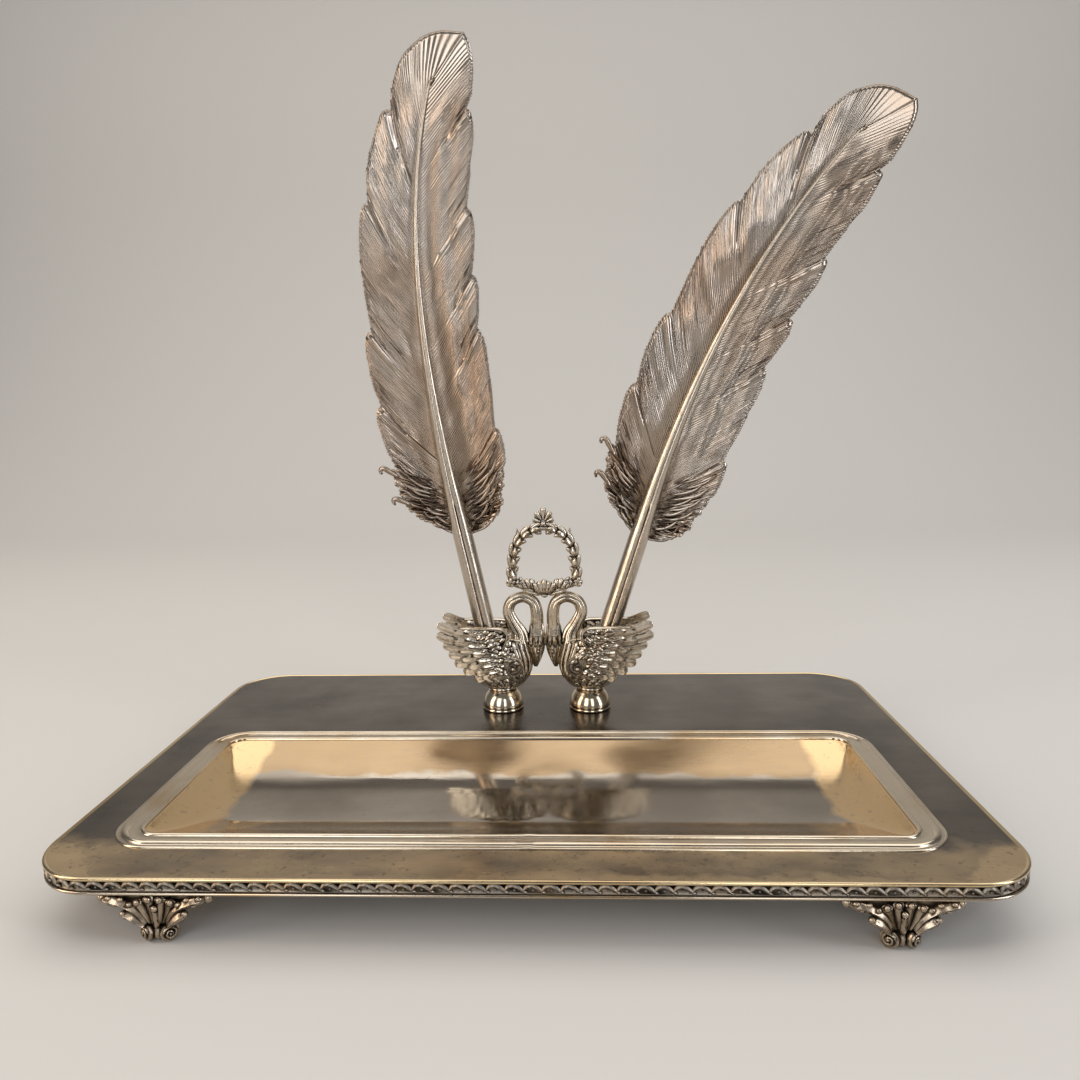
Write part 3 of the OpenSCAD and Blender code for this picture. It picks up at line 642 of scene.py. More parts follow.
SIDES = ((-1, "left"), (1, "right"))
SWAN_X = {-1: -15.5, 1: 19.5}
SWAN_Y = 43
for side, name in SIDES:
    mesh = bmesh.new()

    def pedestal_point(a, b):
        r, z = pedestal_profile[round(b * (len(pedestal_profile) - 1))]
        return Vector((r * cos(2 * pi * a), r * sin(2 * pi * a), z))

    skin(mesh, 64, len(pedestal_profile) - 1, pedestal_point)
    place_swan(mesh, side)
    name = "pedestal_" + name
    piece(name, mesh, pedestal_silver, "stand", [name], 1.2)


# ---- Swans' bodies and necks ----
# Each body is one casting with rows of small feathers round it and longer ones over its back;
# the neck and head are a second casting, ribbed along its length, with a leafy collar over
# the cheeks and a straight bill.

body_silver = cast_silver("swan_body_silver", linear("D4CABA"), linear("352C24"), 0.2, 0.6, 0.2)
neck_silver = cast_silver("swan_neck_silver", linear("C4B9A8"), linear("2A221B"), 0.11, 0.38, 0.18)
PEDESTAL_H, DECK = 8, 28.4
body_rings = [
    (0, -0.4, 4.8, 4.2), (2, -0.5, 6.8, 5.2), (5.2, 0.2, 10.7, 6.3), (11.2, -1.8, 13.4, 6.6),
    (17.2, -4.4, 14.6, 6.2), (20.4, -5.7, 15.2, 5.4),
]
neck_path = [
    (7.4, -1, 3.6), (7.0, 2.6, 2.9), (4.9, 6.4, 2.3), (3.0, 11.2, 2), (4.6, 15.4, 1.9),
    (9, 17, 1.85), (13, 15, 1.9), (14.3, 10.3, 2.1), (14.2, 4.8, 2.3), (14.25, 0.5, 2.85),
    (14.1, -3.6, 3.0), (13.8, -7.4, 2.1), (13.4, -11.4, 0.75),
]


def on_body(b, turn, lift=0.0, longer=1.0, wider=1.0):
    """A place on the body: b is 0 at its foot and 1 on top, and turn goes round from the head."""
    z, middle, long, wide = along(body_rings, b)
    x = middle + (long * longer + lift) * cos(turn)
    return x, (wide * wider + lift) * sin(turn), PEDESTAL_H + z


def body_point(a, b):
    """The body's shell, fluted below and smooth above."""
    turn = 2 * pi * a
    folds = 0.25 * cos(12 * turn + 5 * b) * min(1, 3 * b) * (1 - b)
    return Vector(on_body(b, turn, folds))


def neck_point(a, b):
    """The neck from the breast over its arch to the bill, ribbed up to the head."""
    here = along(neck_path, b)
    ahead = along(neck_path, b + 0.01) - along(neck_path, b - 0.01)
    size = hypot(ahead[0], ahead[1])
    out_x, out_z = ahead[1] / size, -ahead[0] / size
    turn = 2 * pi * a
    ribs = 0.26 * abs(cos(3 * turn + 0.5)) ** 0.6 - 0.12
    head = max(0, min(1, (b - 0.72) / 0.05))
    r = here[2] * (1.05 + ribs * (1 - head))
    flat = 1 - 0.15 * head
    return Vector((here[0] + r * cos(turn) * out_x, flat * r * sin(turn),
                   DECK + here[1] + r * cos(turn) * out_z))


for side, name in SIDES:
    mesh = bmesh.new()
    skin(mesh, 72, 36, body_point, capped=True)
    for face in (-1, 1):
        for row in range(8):
            for k in range(6 - row // 4):
                b = 0.2 + 0.1 * row
                turn = radians(face * (40 + 20 * k + 9 * (row % 2)))
                root = on_body(b, turn)
                turn += radians(face * 16)
                tip = on_body(b + 0.13 - 0.02 * row, turn, 0, 1.02, 1.04)
                out = (cos(turn), face * abs(sin(turn)) * 1.5, -0.2)
                leaf(mesh, [root, tip], 2.3, 0.9, out, (0.9, 1.1, 1.1, 1, 0.8), 0.4, 0, 8, 5)
    for k in range(7):
        turn = 0.27 * (k - 3)
        spine = [on_body(b, turn, 0.15) for b in (1.0, 0.8, 0.55, 0.3, 0.1)]
        out = (cos(turn), sin(turn), 0)
        leaf(mesh, spine, 2.0, 1.0, out, (0.9, 1, 1, 0.9, 0.8), 0.5, 0, 10, 16)
        y = -4.2 + 1.4 * k
        leaf(mesh, [(-7 - abs(y), y, DECK - 0.4), (-14, y * 0.8, DECK + 0.5),
                    (-19.5 + abs(y), y * 0.55, DECK + 1.2)], 2.1, 1.0, (0, 0, 1), rib=0.5, steps=8)
    for row in range(4):
        for k in range(5 - row % 2):
            x, y = 8.6 - 2.3 * row, 1.9 * (k - 2 + 0.5 * (row % 2))
            spine = [(x, y, DECK - 0.3), (x - 1.8, y * 1.03, DECK + 0.45),
                     (x - 3.6, y * 1.05, DECK + 0.3)]
            leaf(mesh, spine, 2.2, 0.9, (0, 0, 1), rib=0.7, steps=6)

    def foot_ring(a, b):
        turn, section = 2 * pi * a, 2 * pi * b
        r = 4.75 + 0.55 * cos(section)
        z = PEDESTAL_H + 0.6 + 0.55 * sin(section)
        return Vector((r * cos(turn) - 0.3, r * sin(turn), z))

    skin(mesh, 48, 10, foot_ring)
    place_swan(mesh, side)
    piece("swan_body_" + name, mesh, body_silver, "stand", ["swan_body_" + name], 1.3)

    mesh = bmesh.new()
    skin(mesh, 48, 96, neck_point, capped=True)
    for k in range(9):
        turn = 2 * pi * (k + 0.5) / 9
        out = Vector((cos(turn), 0.85 * sin(turn), 0))
        collar = ((7.0, 2.2), (3.4, 2.55), (0.2, 3.1), (-2.8, 3.1))
        spine = [Vector((14.15, 0, DECK + drop)) + out * r for drop, r in collar]
        leaf(mesh, spine, 1.9, 0.8, out, (0.5, 0.8, 1.1, 1, 0.6), 0.6, 0, 8, 7)
    for face in (-1, 1):
        ball(mesh, (14.7, face * 2.5, DECK - 4.6), 0.55, fine=2)
        leaf(mesh, [(14.2, face * 2.1, DECK - 5.2), (13.9, face * 1.6, DECK - 7.6),
                    (13.4, face * 0.6, DECK - 11.0)], 1.3, 0.8, (0, face, 0), (0.9, 1, 0.8, 0.6, 0.4),
             0, 0, 8, 7)
        for k in range(3):
            leaf(mesh, [(6.8 + 0.5 * k, face * 2.2, DECK + 1 - 2.2 * k),
                        (8.4 + 0.6 * k, face * 2.9, DECK - 1.5 - 2.6 * k),
                        (8.6 + 0.5 * k, face * 3.4, DECK - 4.5 - 2.6 * k)],
                 1.8, 0.9, (0.6, face, 0), rib=0.5, around=8, steps=6)
    ball(mesh, (14.7, 0, DECK - 5.2), 0.95, (1, 1, 1.2), 2)
    place_swan(mesh, side)
    piece("swan_neck_" + name, mesh, neck_silver, "stand", ["swan_neck_" + name], 1.1)


# ---- Wings ----
# Four cast wings, soldered to the swans' flanks: long primaries fanned out behind, two rows
# of coverts, a field of small feathers, and a plain rolled front edge that ends in a scroll.

wing_silver = cast_silver("wing_silver_oxidised", linear("D0C6B7"), linear("2A231D"), 0.17, 0.55, 0.2)
wing_front = [
    (0.2, 5.8), (4.2, 6.6), (7.2, 8.3), (8.5, 11), (7.8, 13.6), (4.2, 15), (1.5, 16.4), (1.4, 19),
    (2.8, 22.8), (2.5, 25.2), (0.7, 26.4),
]
wing_back = [
    (-2, 5.6), (-5, 6.2), (-8, 7.6), (-9, 9.6), (-10, 12), (-11, 14.2), (-12, 16.6), (-13, 19.2),
    (-14.5, 22), (-16, 24.6), (-16.4, 26.4),
]
wing_rim = [
    (-18.2, 26.4), (-13, 26.7), (-6, 26.5), (-1, 26.4), (1.6, 25.8), (2.8, 23.8), (2.2, 21),
    (1.1, 18.4), (1.6, 16), (4.2, 14.8), (7.2, 13.9), (8.5, 11.6), (7.9, 8.9), (5.6, 7.4),
    (3.4, 8.4), (2.9, 10.6), (4.3, 12), (5.9, 11.2), (5.8, 9.8), (4.9, 9.7),
]
primary_tips = [
    (-24.6, 28.4), (-25.0, 24.2), (-22.6, 20.2), (-20.4, 16.3), (-18.2, 12.6), (-14.8, 9.2),
    (-10.4, 6.0),
]


def build_wing(name, side, face, seed):
    """face is -1 for the near wing and 1 for the far one; plane is where its middle lies."""
    rng = random.Random(seed)
    plane = face * 7.45
    mesh = bmesh.new()

    def sheet(a, b):
        front, back = along(wing_front, b), along(wing_back, b)
        turn = 2 * pi * a
        middle = (front + back) / 2 + (front - back) / 2 * cos(turn)
        return Vector((middle[0], plane + 0.42 * sin(turn), PEDESTAL_H + middle[1]))

    def feather(root, tip, width, thick, lift, look, sag, steps, cup, rib):
        """A feather on the wing's face; sag is how far its middle hangs under a straight line."""
        dx, dz = tip[0] - root[0], tip[1] - root[1]
        long = hypot(dx, dz)
        spine = []
        for t in (0, 0.33, 0.66, 1):
            bow = sin(pi * t)
            x = root[0] + dx * t + sag * bow * dz / long
            z = PEDESTAL_H + root[1] + dz * t - sag * bow * abs(dx) / long
            spine.append((x, plane + look * (lift + 0.25 * bow), z))
        leaf(mesh, spine, width, thick, (0, look, 0), (0.55, 0.8, 1, 1.08, 1.0), rib, cup, 12, steps)

    skin(mesh, 24, 40, sheet, capped=True)
    for k, tip in enumerate(primary_tips):
        root = (-6 + 0.9 * k, 24.2 - 2.3 * k)
        for look in (-1, 1):
            feather(root, tip, 3.6, 0.6, 0.05 - 0.03 * k, look, 1.6 - 0.25 * k, 16, 0.26, 1.6)
            for share, width, lift, drop in ((0.68, 3.2, 0.35, -1.5), (0.45, 2.8, 0.6, -0.1)):
                end = (root[0] + (tip[0] - root[0]) * (share + rng.uniform(-0.05, 0.05)),
                       root[1] + (tip[1] - root[1]) * share + drop * (k < len(primary_tips) - 1))
                feather((root[0] + 1.4, root[1] + drop * 0.4), end, width, 0.6, lift, look,
                        rng.uniform(0.2, 0.8), 10, 0.26, 1.4)
    for look in (-1, 1):
        for row in range(12):
            z = 25.4 - 1.6 * row
            front = along(wing_front, (z - 5.8) / 20.8)[0]
            reach = -9.0 + 0.75 * row
            for k in range(9):
                x = front - 1.2 - 1.7 * k - 0.8 * (row % 2)
                if x < reach:
                    break
                if hypot(x - 4.6, z - 10.6) < 3.2:
                    continue
                turn = pi + 0.35 * (z - 17) / 8 + rng.uniform(-0.7, 0.7)
                long = rng.uniform(1.9, 3.0)
                spot = (x + rng.uniform(-0.2, 0.2), z + rng.uniform(-0.25, 0.25))
                feather((spot[0] + 0.8, spot[1]),
                        (spot[0] + long * cos(turn), spot[1] + long * sin(turn)),
                        rng.uniform(1.6, 2.1), 0.7, rng.uniform(0.4, 0.85), look,
                        rng.uniform(-0.3, 0.3), 6, 0.2, 1.2)
    rim = [(x, plane, PEDESTAL_H + z) for x, z in wing_rim]
    leaf(mesh, rim, 1.3, 2.7, (0, -1, 0), (0.8, 1, 1, 1, 1, 0.95, 0.85), 0, 0, 10, 110)
    for look in (-1, 1):
        ball(mesh, (5.0, plane + look * 0.7, PEDESTAL_H + 10.2), 0.8, fine=2)
    place_swan(mesh, side)
    piece(name, mesh, wing_silver, "stand", [name], 1.1)


for side, name in SIDES:
    build_wing("near_wing_" + name, side, -1, 11 + side)
    build_wing("far_wing_" + name, side, 1, 21 + side)


# ---- Sockets, studs, washers and nuts ----
# A tube soldered into each swan's back takes the pen. A threaded steel stud runs down from
# each body through its pedestal and the plate, with a washer and nut underneath.

steel_grey = drawn_silver("plated_steel", linear("9B9790"), linear("4F4A44"), 3)
for slot, nodes in (
    ("spun_silver", ["pen_socket_left", "pen_socket_right"]),
    ("steel", ["swan_stud_left", "swan_stud_right", "stud_washers", "stud_nuts"]),
):
    for name in nodes:
        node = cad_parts[name]
        node.data.materials.clear()
        node.data.materials.append(steel_grey if slot == "steel" else pedestal_silver)


# ---- Wreath ----
# One thin casting that stands on the two necks: a ring of leaves that climb from a spray at
# its foot, a spiked leaf on each shoulder, a rosette at each lower corner, and a crest.

wreath_silver = cast_silver("wreath_silver", linear("CBC1B2"), linear("2C2620"), 0.18, 0.52, 0.22)
wreath_mesh = bmesh.new()
WREATH_X, WREATH_Z = 2, 79.75


def wreath_at(x, z, y=0.0):
    """A place in the wreath: x and z from the middle of its ring, y towards the back."""
    return Vector((WREATH_X + x, SWAN_Y + y, WREATH_Z + z))


def on_ring(angle, r, y=0.0):
    """A place on the ring, angle degrees from its top; its lower corners reach out."""
    r += 2.8 * exp(-(((abs(angle) - 126) / 20) ** 2))
    return wreath_at(r * sin(radians(angle)), r * cos(radians(angle)), y)


def ring_core(a, b):
    """The round bar that the leaves grow from."""
    section = 2 * pi * b
    return on_ring(360 * a - 180, 11.7 + 0.95 * cos(section), 0.95 * sin(section))


def sprig(spine, width, thick, shape, rib=0.5, steps=8):
    """A leaf of the wreath, its front to the front; spine holds its places."""
    leaf(wreath_mesh, spine, width, thick, shape=shape, rib=rib, steps=steps)


def berry(x, z, y, r, squash=(1, 1, 1)):
    """A small bead of the wreath."""
    ball(wreath_mesh, wreath_at(x, z, y), r, squash, 2)


SPIKED, FULL = (1, 1, 0.8, 0.5, 0.2), (0.6, 0.9, 1.1, 1.1, 0.8)
skin(wreath_mesh, 72, 12, ring_core)
for side in (-1, 1):
    for k in range(7):
        angle, climb = side * (150 - 20.5 * k), -side * 20
        outer = [on_ring(angle + climb * up, r) for up, r in ((0, 11.8), (0.6, 13.0), (1.25, 13.9))]
        sprig(outer, 2.5, 1.7, (0.7, 1, 1, 0.8, 0.4))
        inner = [on_ring(angle + climb * up, r) for up, r in ((0.2, 11.6), (0.75, 10.6), (0.95, 9.6))]
        sprig(inner, 2.0, 1.6, (0.8, 1, 1, 1, 0.9), steps=7)
        ball(wreath_mesh, on_ring(angle + 0.98 * climb, 9.75), 0.62, fine=2)
        for face in (-1, 1):
            spine = [on_ring(angle, 11.7, face * 0.7), on_ring(angle + 0.5 * climb, 11.6, face * 1.5),
                     on_ring(angle + climb, 12.0, face * 1.2)]
            leaf(wreath_mesh, spine, 2.1, 1.0, (0, face, 0), (0.6, 1, 1, 0.8, 0.5), 0.5, 0, 8, 6)
    # spiked shoulder leaf, with a shorter one beside it
    for root, bend, tip, width, thick in (
        ((52, 12.4), (47, 13.8), (10.4, 11.9), 1.9, 1.5),
        ((40, 12.2), (37, 13.2), (8.4, 11.8), 1.5, 1.3),
    ):
        spine = [on_ring(side * root[0], root[1]), on_ring(side * bend[0], bend[1]),
                 wreath_at(side * tip[0], tip[1])]
        sprig(spine, width, thick, SPIKED)
    # rosette at the lower corner
    for k in range(5):
        turn = radians(72 * k + 10)
        out = wreath_at(side * 13.2 + 1.9 * sin(turn), -9.7 + 1.9 * cos(turn), -0.5)
        sprig([wreath_at(side * 13.2, -9.7, -0.8), out], 1.9, 1.6, (0.5, 0.9, 1.1, 1.1, 1), steps=6)
    berry(side * 13.2, -9.7, -0.4, 0.75, (1, 1.9, 1))
    # the spray's side leaves, a bunch on each, and the curl that rests on the neck
    spine = [wreath_at(side * x, z) for x, z in ((0.6, -14.2), (5, -13.1), (9.5, -11.2), (13, -9.8))]
    sprig(spine, 2.4, 2.4, (0.9, 1, 1, 0.9, 0.8), 0.3, 12)
    for x, z, wide in (
        (3.6, -10.2, 2.0), (5.0, -8.5, 2.1), (6.8, -8.3, 2.2), (8.5, -9.2, 2.0), (10.6, -8.9, 1.8),
    ):
        spine = [wreath_at(side * (0.72 * x + 0.6), -13.4 + 0.16 * x, -0.5),
                 wreath_at(side * (0.9 * x + 0.2), z - 1.7, -1.1), wreath_at(side * x, z, -0.6)]
        sprig(spine, wide, 1.9, FULL, 0.6)
        berry(side * x, z - 0.2, -0.8, 0.6)
    spine = [wreath_at(side * x, z) for x, z in ((1, -14.8), (4.4, -14.2), (7.6, -13.2), (9.2, -11.8))]
    sprig(spine, 1.7, 2.6, (0.8, 1, 1, 0.8, 0.7), 0, 9)
    # crest: the scrolled bar over the ring and the drop inside it
    spine = [wreath_at(side * x, z) for x, z in ((0, 13.3), (2.2, 13.7), (4, 13.2), (4.9, 12.2))]
    sprig(spine, 1.3, 1.6, (1, 1, 0.9, 0.9, 0.9), 0, 9)
    berry(side * 4.7, 12.2, 0, 0.85)
    spine = [wreath_at(side * x, z) for x, z in ((0.8, 11.2), (2.2, 10.2), (2.7, 9.1))]
    sprig(spine, 1.4, 1.5, (0.5, 0.9, 1, 0.9, 0.7), 0.4)
for k in range(5):
    turn = radians(-70 + 35 * k)
    reach = 6.0 - 0.85 * abs(k - 2)
    spine = [wreath_at(r * sin(turn), 14.0 + r * cos(turn), -0.2) for r in (0.6, 3, reach)]
    sprig(spine, 2.0, 1.9, (0.4, 0.6, 0.9, 1.15, 1.1), 0.3, 9)
    x = -3.8 + 1.9 * k
    spine = [wreath_at(x * 0.25, -14.6, -0.8), wreath_at(x * 0.85, -11.4, -1.5),
             wreath_at(x, -8.2 - 0.42 * abs(x), -1.2)]
    sprig(spine, 2.2, 1.9, FULL, 0.6, 9)
berry(0, -15.0, 0, 1.25, (1.2, 1.3, 0.9))
berry(0, 13.6, -0.9, 1.0, (1, 0.8, 1))
piece("wreath", wreath_mesh, wreath_silver, "stand", ["wreath"], 1.1)


# ---- Pens: point sections and refills ----
# The turned section under each feather holds a ball pen refill, and its tenon carries the
# quill. Both are hidden in the socket until the pen is lifted out.

for slot, code, nodes in (
    ("point_metal", "CFC8BC", ["point_section_left", "point_section_right"]),
    ("refill_metal", "A9A6A0", ["ink_refill_left", "ink_refill_right"]),
):
    turned = drawn_silver("turned_" + slot, linear(code), linear("5A534A"), 2)
    for name in nodes:
        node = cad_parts[name]
        node.data.materials.clear()
        node.data.materials.append(turned)


# ---- Pens: quill barrels and rachises ----
# The bare quill is a tapering silver tube with a groove down its front; it runs on into the
# feather as the rachis. Both get a painted copper-coloured reflection of warm light left of the
# groove.

BARREL_FROM, BARREL_TOP, VANE_FROM, PEN_TOP = 14, 70, 56, 241
CURVED = PEN_TOP - BARREL_TOP
RACHIS_LONG, BORE_R, FORWARD_BOW = 162, 3.05, 9
PENS = {
    "left": (Vector((-18.3, SWAN_Y, 34.2)), (-11.7, 16, 21)),
    "right": (Vector((21.9, SWAN_Y, 34.2)), (17.9, 21.5, 9)),
}


def pen_line(base, lean):
    """Every half millimetre along a pen: place across and up, and its lean in radians."""
    line, x, z = [], base.x, base.z
    for k in range(2 * PEN_TOP + 1):
        past = max(0, (k / 2 + 0.25 - BARREL_TOP) / CURVED)
        angle = radians(lean[0] + lean[1] * past + lean[2] * past**3)
        line.append((x, z, angle))
        x, z = x + 0.5 * sin(angle), z + 0.5 * cos(angle)
    return line


def on_pen(line, t, across, front):
    """The point t mm up a pen, across to the right of its middle, and front mm before it."""
    k = max(0, min(len(line) - 1.001, 2 * t))
    here, ahead, part = line[int(k)], line[int(k) + 1], k % 1
    x, z, angle = (p + (q - p) * part for p, q in zip(here, ahead))
    bow = FORWARD_BOW * (max(0, t - BARREL_TOP) / CURVED) ** 2
    over = t - k / 2
    return Vector((
        x + across * cos(angle) + over * sin(angle), SWAN_Y - bow - front,
        z - across * sin(angle) + over * cos(angle),
    ))


def rachis_r(t):
    """Radius of the quill: the slightly tapered barrel, then the rachis down to a thread."""
    if t < VANE_FROM:
        return 4.1 - 0.25 * (t - BARREL_FROM) / (VANE_FROM - BARREL_FROM)
    return 0.4 + 3.45 * (1 - (t - VANE_FROM) / (PEN_TOP - VANE_FROM)) ** 2


def ramp(x, low, high):
    """0 below low, 1 above high, and smooth between."""
    x = max(0, min(1, (x - low) / (high - low)))
    return x * x * (3 - 2 * x)


def quill_silver(name, bright, dull, warm_reflection, sheen):
    """Silver plate with a painted copper-coloured reflection of warm light along the side left of the
    groove, under fine streaks. It was cast, filed and burnished lengthwise; hands have polished it
    where it is held."""
    made, tree, shader, place = metal(name)
    shut = add(tree, "Attribute", attribute_name="hollow").outputs["Fac"]
    turn = add(tree, "SeparateXYZ", {0: add(tree, "UVMap", uv_map="UVMap")}).outputs["X"]
    worn = blotches(tree, place, 12, 0.3, 0.7, 4)
    streak = blotches(tree, place, 2.2, 0.3, 0.75, 2, (1, 1, 0.3))
    # painted warm reflection on the side left of the groove; the blotches only vary how strong it is
    left = spread(tree, turn, 0.25, 0.28)
    back = spread(tree, turn, 0.62, 0.5)
    warm_side = maths(tree, "MULTIPLY", left, back)
    warm_side = maths(tree, "MULTIPLY", warm_side, spread(tree, worn, 0, 1, 0.6, 1))
    tone = blend(tree, maths(tree, "MULTIPLY", streak, 0.4), bright, dull)
    tone = blend(tree, warm_side, tone, warm_reflection)
    # painted shade: dark brown where the quill's own shape shuts a point in, as in its groove
    tone = blend(tree, spread(tree, shut, 0.12, 0.5), tone, linear("3A2C22"))
    coat(tree, shader, tone, spread(tree, streak, 0, 1, sheen, sheen + 0.08))
    dents(tree, shader, streak, 0.02)
    return made


# A07250 is the colour of the painted warm reflection on the quills' left side
barrel_silver = quill_silver(
    "barrel_silver_painted_warm_side", linear("C4B8A8"), linear("7E7266"), linear("A07250"), 0.22
)
for pen, (base, lean) in PENS.items():
    line = pen_line(base, lean)

    def quill_point(a, t, r, across=0):
        """A point of the quill's skin: the groove runs down its front, with a lip beside it."""
        turn = 2 * pi * a
        groove = exp(-(((turn - 1.57) / 0.14) ** 2)) * (0.3 + 0.7 * min(1, r / 3))
        lip = exp(-(((turn - 1.85) / 0.16) ** 2)) * 0.04
        r *= 1 - 0.19 * groove + lip
        return on_pen(line, t, across + r * cos(turn), r * sin(turn))

    profile = [(68, 0), (68, BORE_R), (BARREL_FROM, BORE_R), (BARREL_FROM, 3.9)]
    profile += [(t, rachis_r(t)) for t in (14.3, *range(16, 71, 2))] + [(BARREL_TOP, 0)]

    def barrel_point(a, b):
        t, r = profile[round(b * (len(profile) - 1))]
        if r <= BORE_R:
            return on_pen(line, t, r * cos(2 * pi * a), r * sin(2 * pi * a))
        seam = 0.05 * exp(-(((t - 47) / 0.5) ** 2)) if pen == "left" else 0
        return quill_point(a, t, r - seam)

    mesh = bmesh.new()
    skin(mesh, 56, len(profile) - 1, barrel_point)
    name = "quill_barrel_" + pen
    piece(name, mesh, barrel_silver, "feather_" + pen, [name], 1.6)

    mesh = bmesh.new()

    def rachis_point(a, b):
        t = BARREL_TOP + RACHIS_LONG * b
        r = rachis_r(t) * (1 - 0.7 * ramp(t, 214, 232)) * min(1, 0.2 + 14 * (1 - b))
        return quill_point(a, t, r, 0.36 * max(0, t - 221.5))

    skin(mesh, 40, 150, rachis_point, capped=True)
    name = "quill_rachis_" + pen
    piece(name, mesh, barrel_silver, "feather_" + pen, [name], 1.6)


# ---- Pens: feather vanes ----
# Cast silver feathers, chased with fine barbs that run from the rachis up to the edge. Each
# half parts into lobes whose upper ends curl forward over the next; downy curls grow at its
# root.

SPAN = PEN_TOP - VANE_FROM
HALF_VANE = 22
left_width = [
    (56, 0.02), (57.5, 0.13), (61, 0.33), (67, 0.7), (74.5, 0.86), (89, 0.95), (121, 1.0),
    (148, 0.93), (167, 0.92), (189, 0.84), (211, 0.63), (226, 0.53), (233, 0.36), (238, 0.08),
    (241, -0.3),
]
right_width = [
    (56, 0.05), (57.5, 0.42), (61, 0.68), (67, 0.85), (74.5, 0.93), (89, 1.02), (121, 1.0),
    (148, 0.97), (167, 0.95), (189, 0.87), (211, 0.78), (226, 0.66), (234, 0.56), (239, 0.42),
    (241, 0.3),
]
sweep_keys = [
    (56, 0), (64, 3), (75, 10), (90, 21), (110, 28), (200, 28), (220, 27), (232, 24), (241, 20),
]
LOBES = {
    -1: [62, 86, 110, 137, 180, 210, 241.5],
    1: [62, 95, 134, 155, 180, 216, 241.5],
}
RIDGES = ((0.2, 0.13, -1.0), (0.47, 0.06, 1.0), (0.66, 0.08, -0.5), (0.78, 0.05, 0.55))
lobe_edge = [(0, -1.5), (0.16, -0.8), (0.42, 0.3), (0.7, 0.9), (0.88, 0.75), (0.96, 0.2), (1, -0.7)]


def keyed(keys, t):
    """The value at t of a smooth line through (t, value) pairs."""
    k = 0
    while k < len(keys) - 2 and t > keys[k + 1][0]:
        k += 1
    (t0, v0), (t1, v1) = keys[k], keys[k + 1]
    before, after = keys[max(0, k - 1)], keys[min(len(keys) - 1, k + 2)]
    span = t1 - t0
    slope0 = (v1 - before[1]) / (t1 - before[0]) * span
    slope1 = (after[1] - v0) / (after[0] - t0) * span
    x = (t - t0) / span
    return (v0 * (1 + 2 * x) * (1 - x) ** 2 + slope0 * x * (1 - x) ** 2
            + v1 * x * x * (3 - 2 * x) + slope1 * x * x * (x - 1))


def barb_point(line, side, b, edge_t):
    """A point on a barb: b is 0 at the rachis and 1 at the edge, where it ends at edge_t."""
    marks = LOBES[side]
    k = sum(edge_t > m for m in marks[1:-1])
    below = marks[k + 1] - edge_t
    lobe = 1 - below / (marks[k + 1] - marks[k])
    last = k == len(marks) - 2
    grown = ramp(edge_t, 64, 84) * (1 - ramp(edge_t, 222, 240))
    rise = 0 if last or edge_t < marks[0] else ramp(lobe, 0.25, 1)
    roll = 0 if last or edge_t < marks[0] else exp(-(((below - 1.2) / 1.1) ** 2))
    reach = keyed(sweep_keys, edge_t)
    t = edge_t - reach + reach * (0.82 * b + 0.18 * b * b)
    width = HALF_VANE * keyed(left_width if side < 0 else right_width, edge_t)
    if edge_t > marks[0]:
        stand_out = -2 * (1 - ramp(lobe, 0, 0.3)) if last else keyed(lobe_edge, lobe)
        width += grown * stand_out * (k > 0 or lobe > 0.5)
    down = 1 - ramp(edge_t, 68, 90)
    width *= 1 + down * 0.09 * noise.noise((edge_t / 1.4, side, 0.5))
    width += 0.2 * noise.noise((edge_t * 0.9, side, 3.0))
    r = rachis_r(max(VANE_FROM, min(t, PEN_TOP - 1))) * (1 - 0.9 * ramp(t, 212, 221))
    tip = 1 - ramp(edge_t, 216, 240)
    front = -(r + 0.15) * (1 - b * b)
    front += (0.45 * rise + 0.75 * roll) * ramp(b, 0.42, 0.85) * tip
    front -= 0.3 * (1 - ramp(lobe, 0, 0.25)) * ramp(b, 0.42, 0.8) * tip * (k > 0)
    swell = ramp(b, 0, 0.4) * (1 - ramp(edge_t, 227, 240.5))
    front += 1.3 * noise.noise((edge_t / 8, b * 2.6, side * 5.0)) * swell
    if side > 0:
        body = ramp(edge_t, 85, 130) * (1 - ramp(edge_t, 212, 238))
        wander = 0.02 * sin(edge_t / 17)
        for spot, size, lift in RIDGES:
            front += body * lift * exp(-(((b - spot - wander) / size) ** 2))
    else:
        front += 1.1 * sin(pi * b) ** 2 * ramp(edge_t, 90, 130) * (1 - ramp(edge_t, 205, 238))
    curl = down * ramp(b, 0.2, 0.7)
    front += curl * 1.5 * noise.noise((edge_t / 1.7 + 1.5 * b, side * 7.0, 1.0))
    wave = 2.5 * noise.noise((edge_t / 4, b * 2, side))
    front += 0.12 * sin(2 * pi * edge_t / 1.15 + wave) * ramp(b, 0, 0.15) * (0.35 + 0.65 * tip)
    return on_pen(line, t, side * width * b, front)


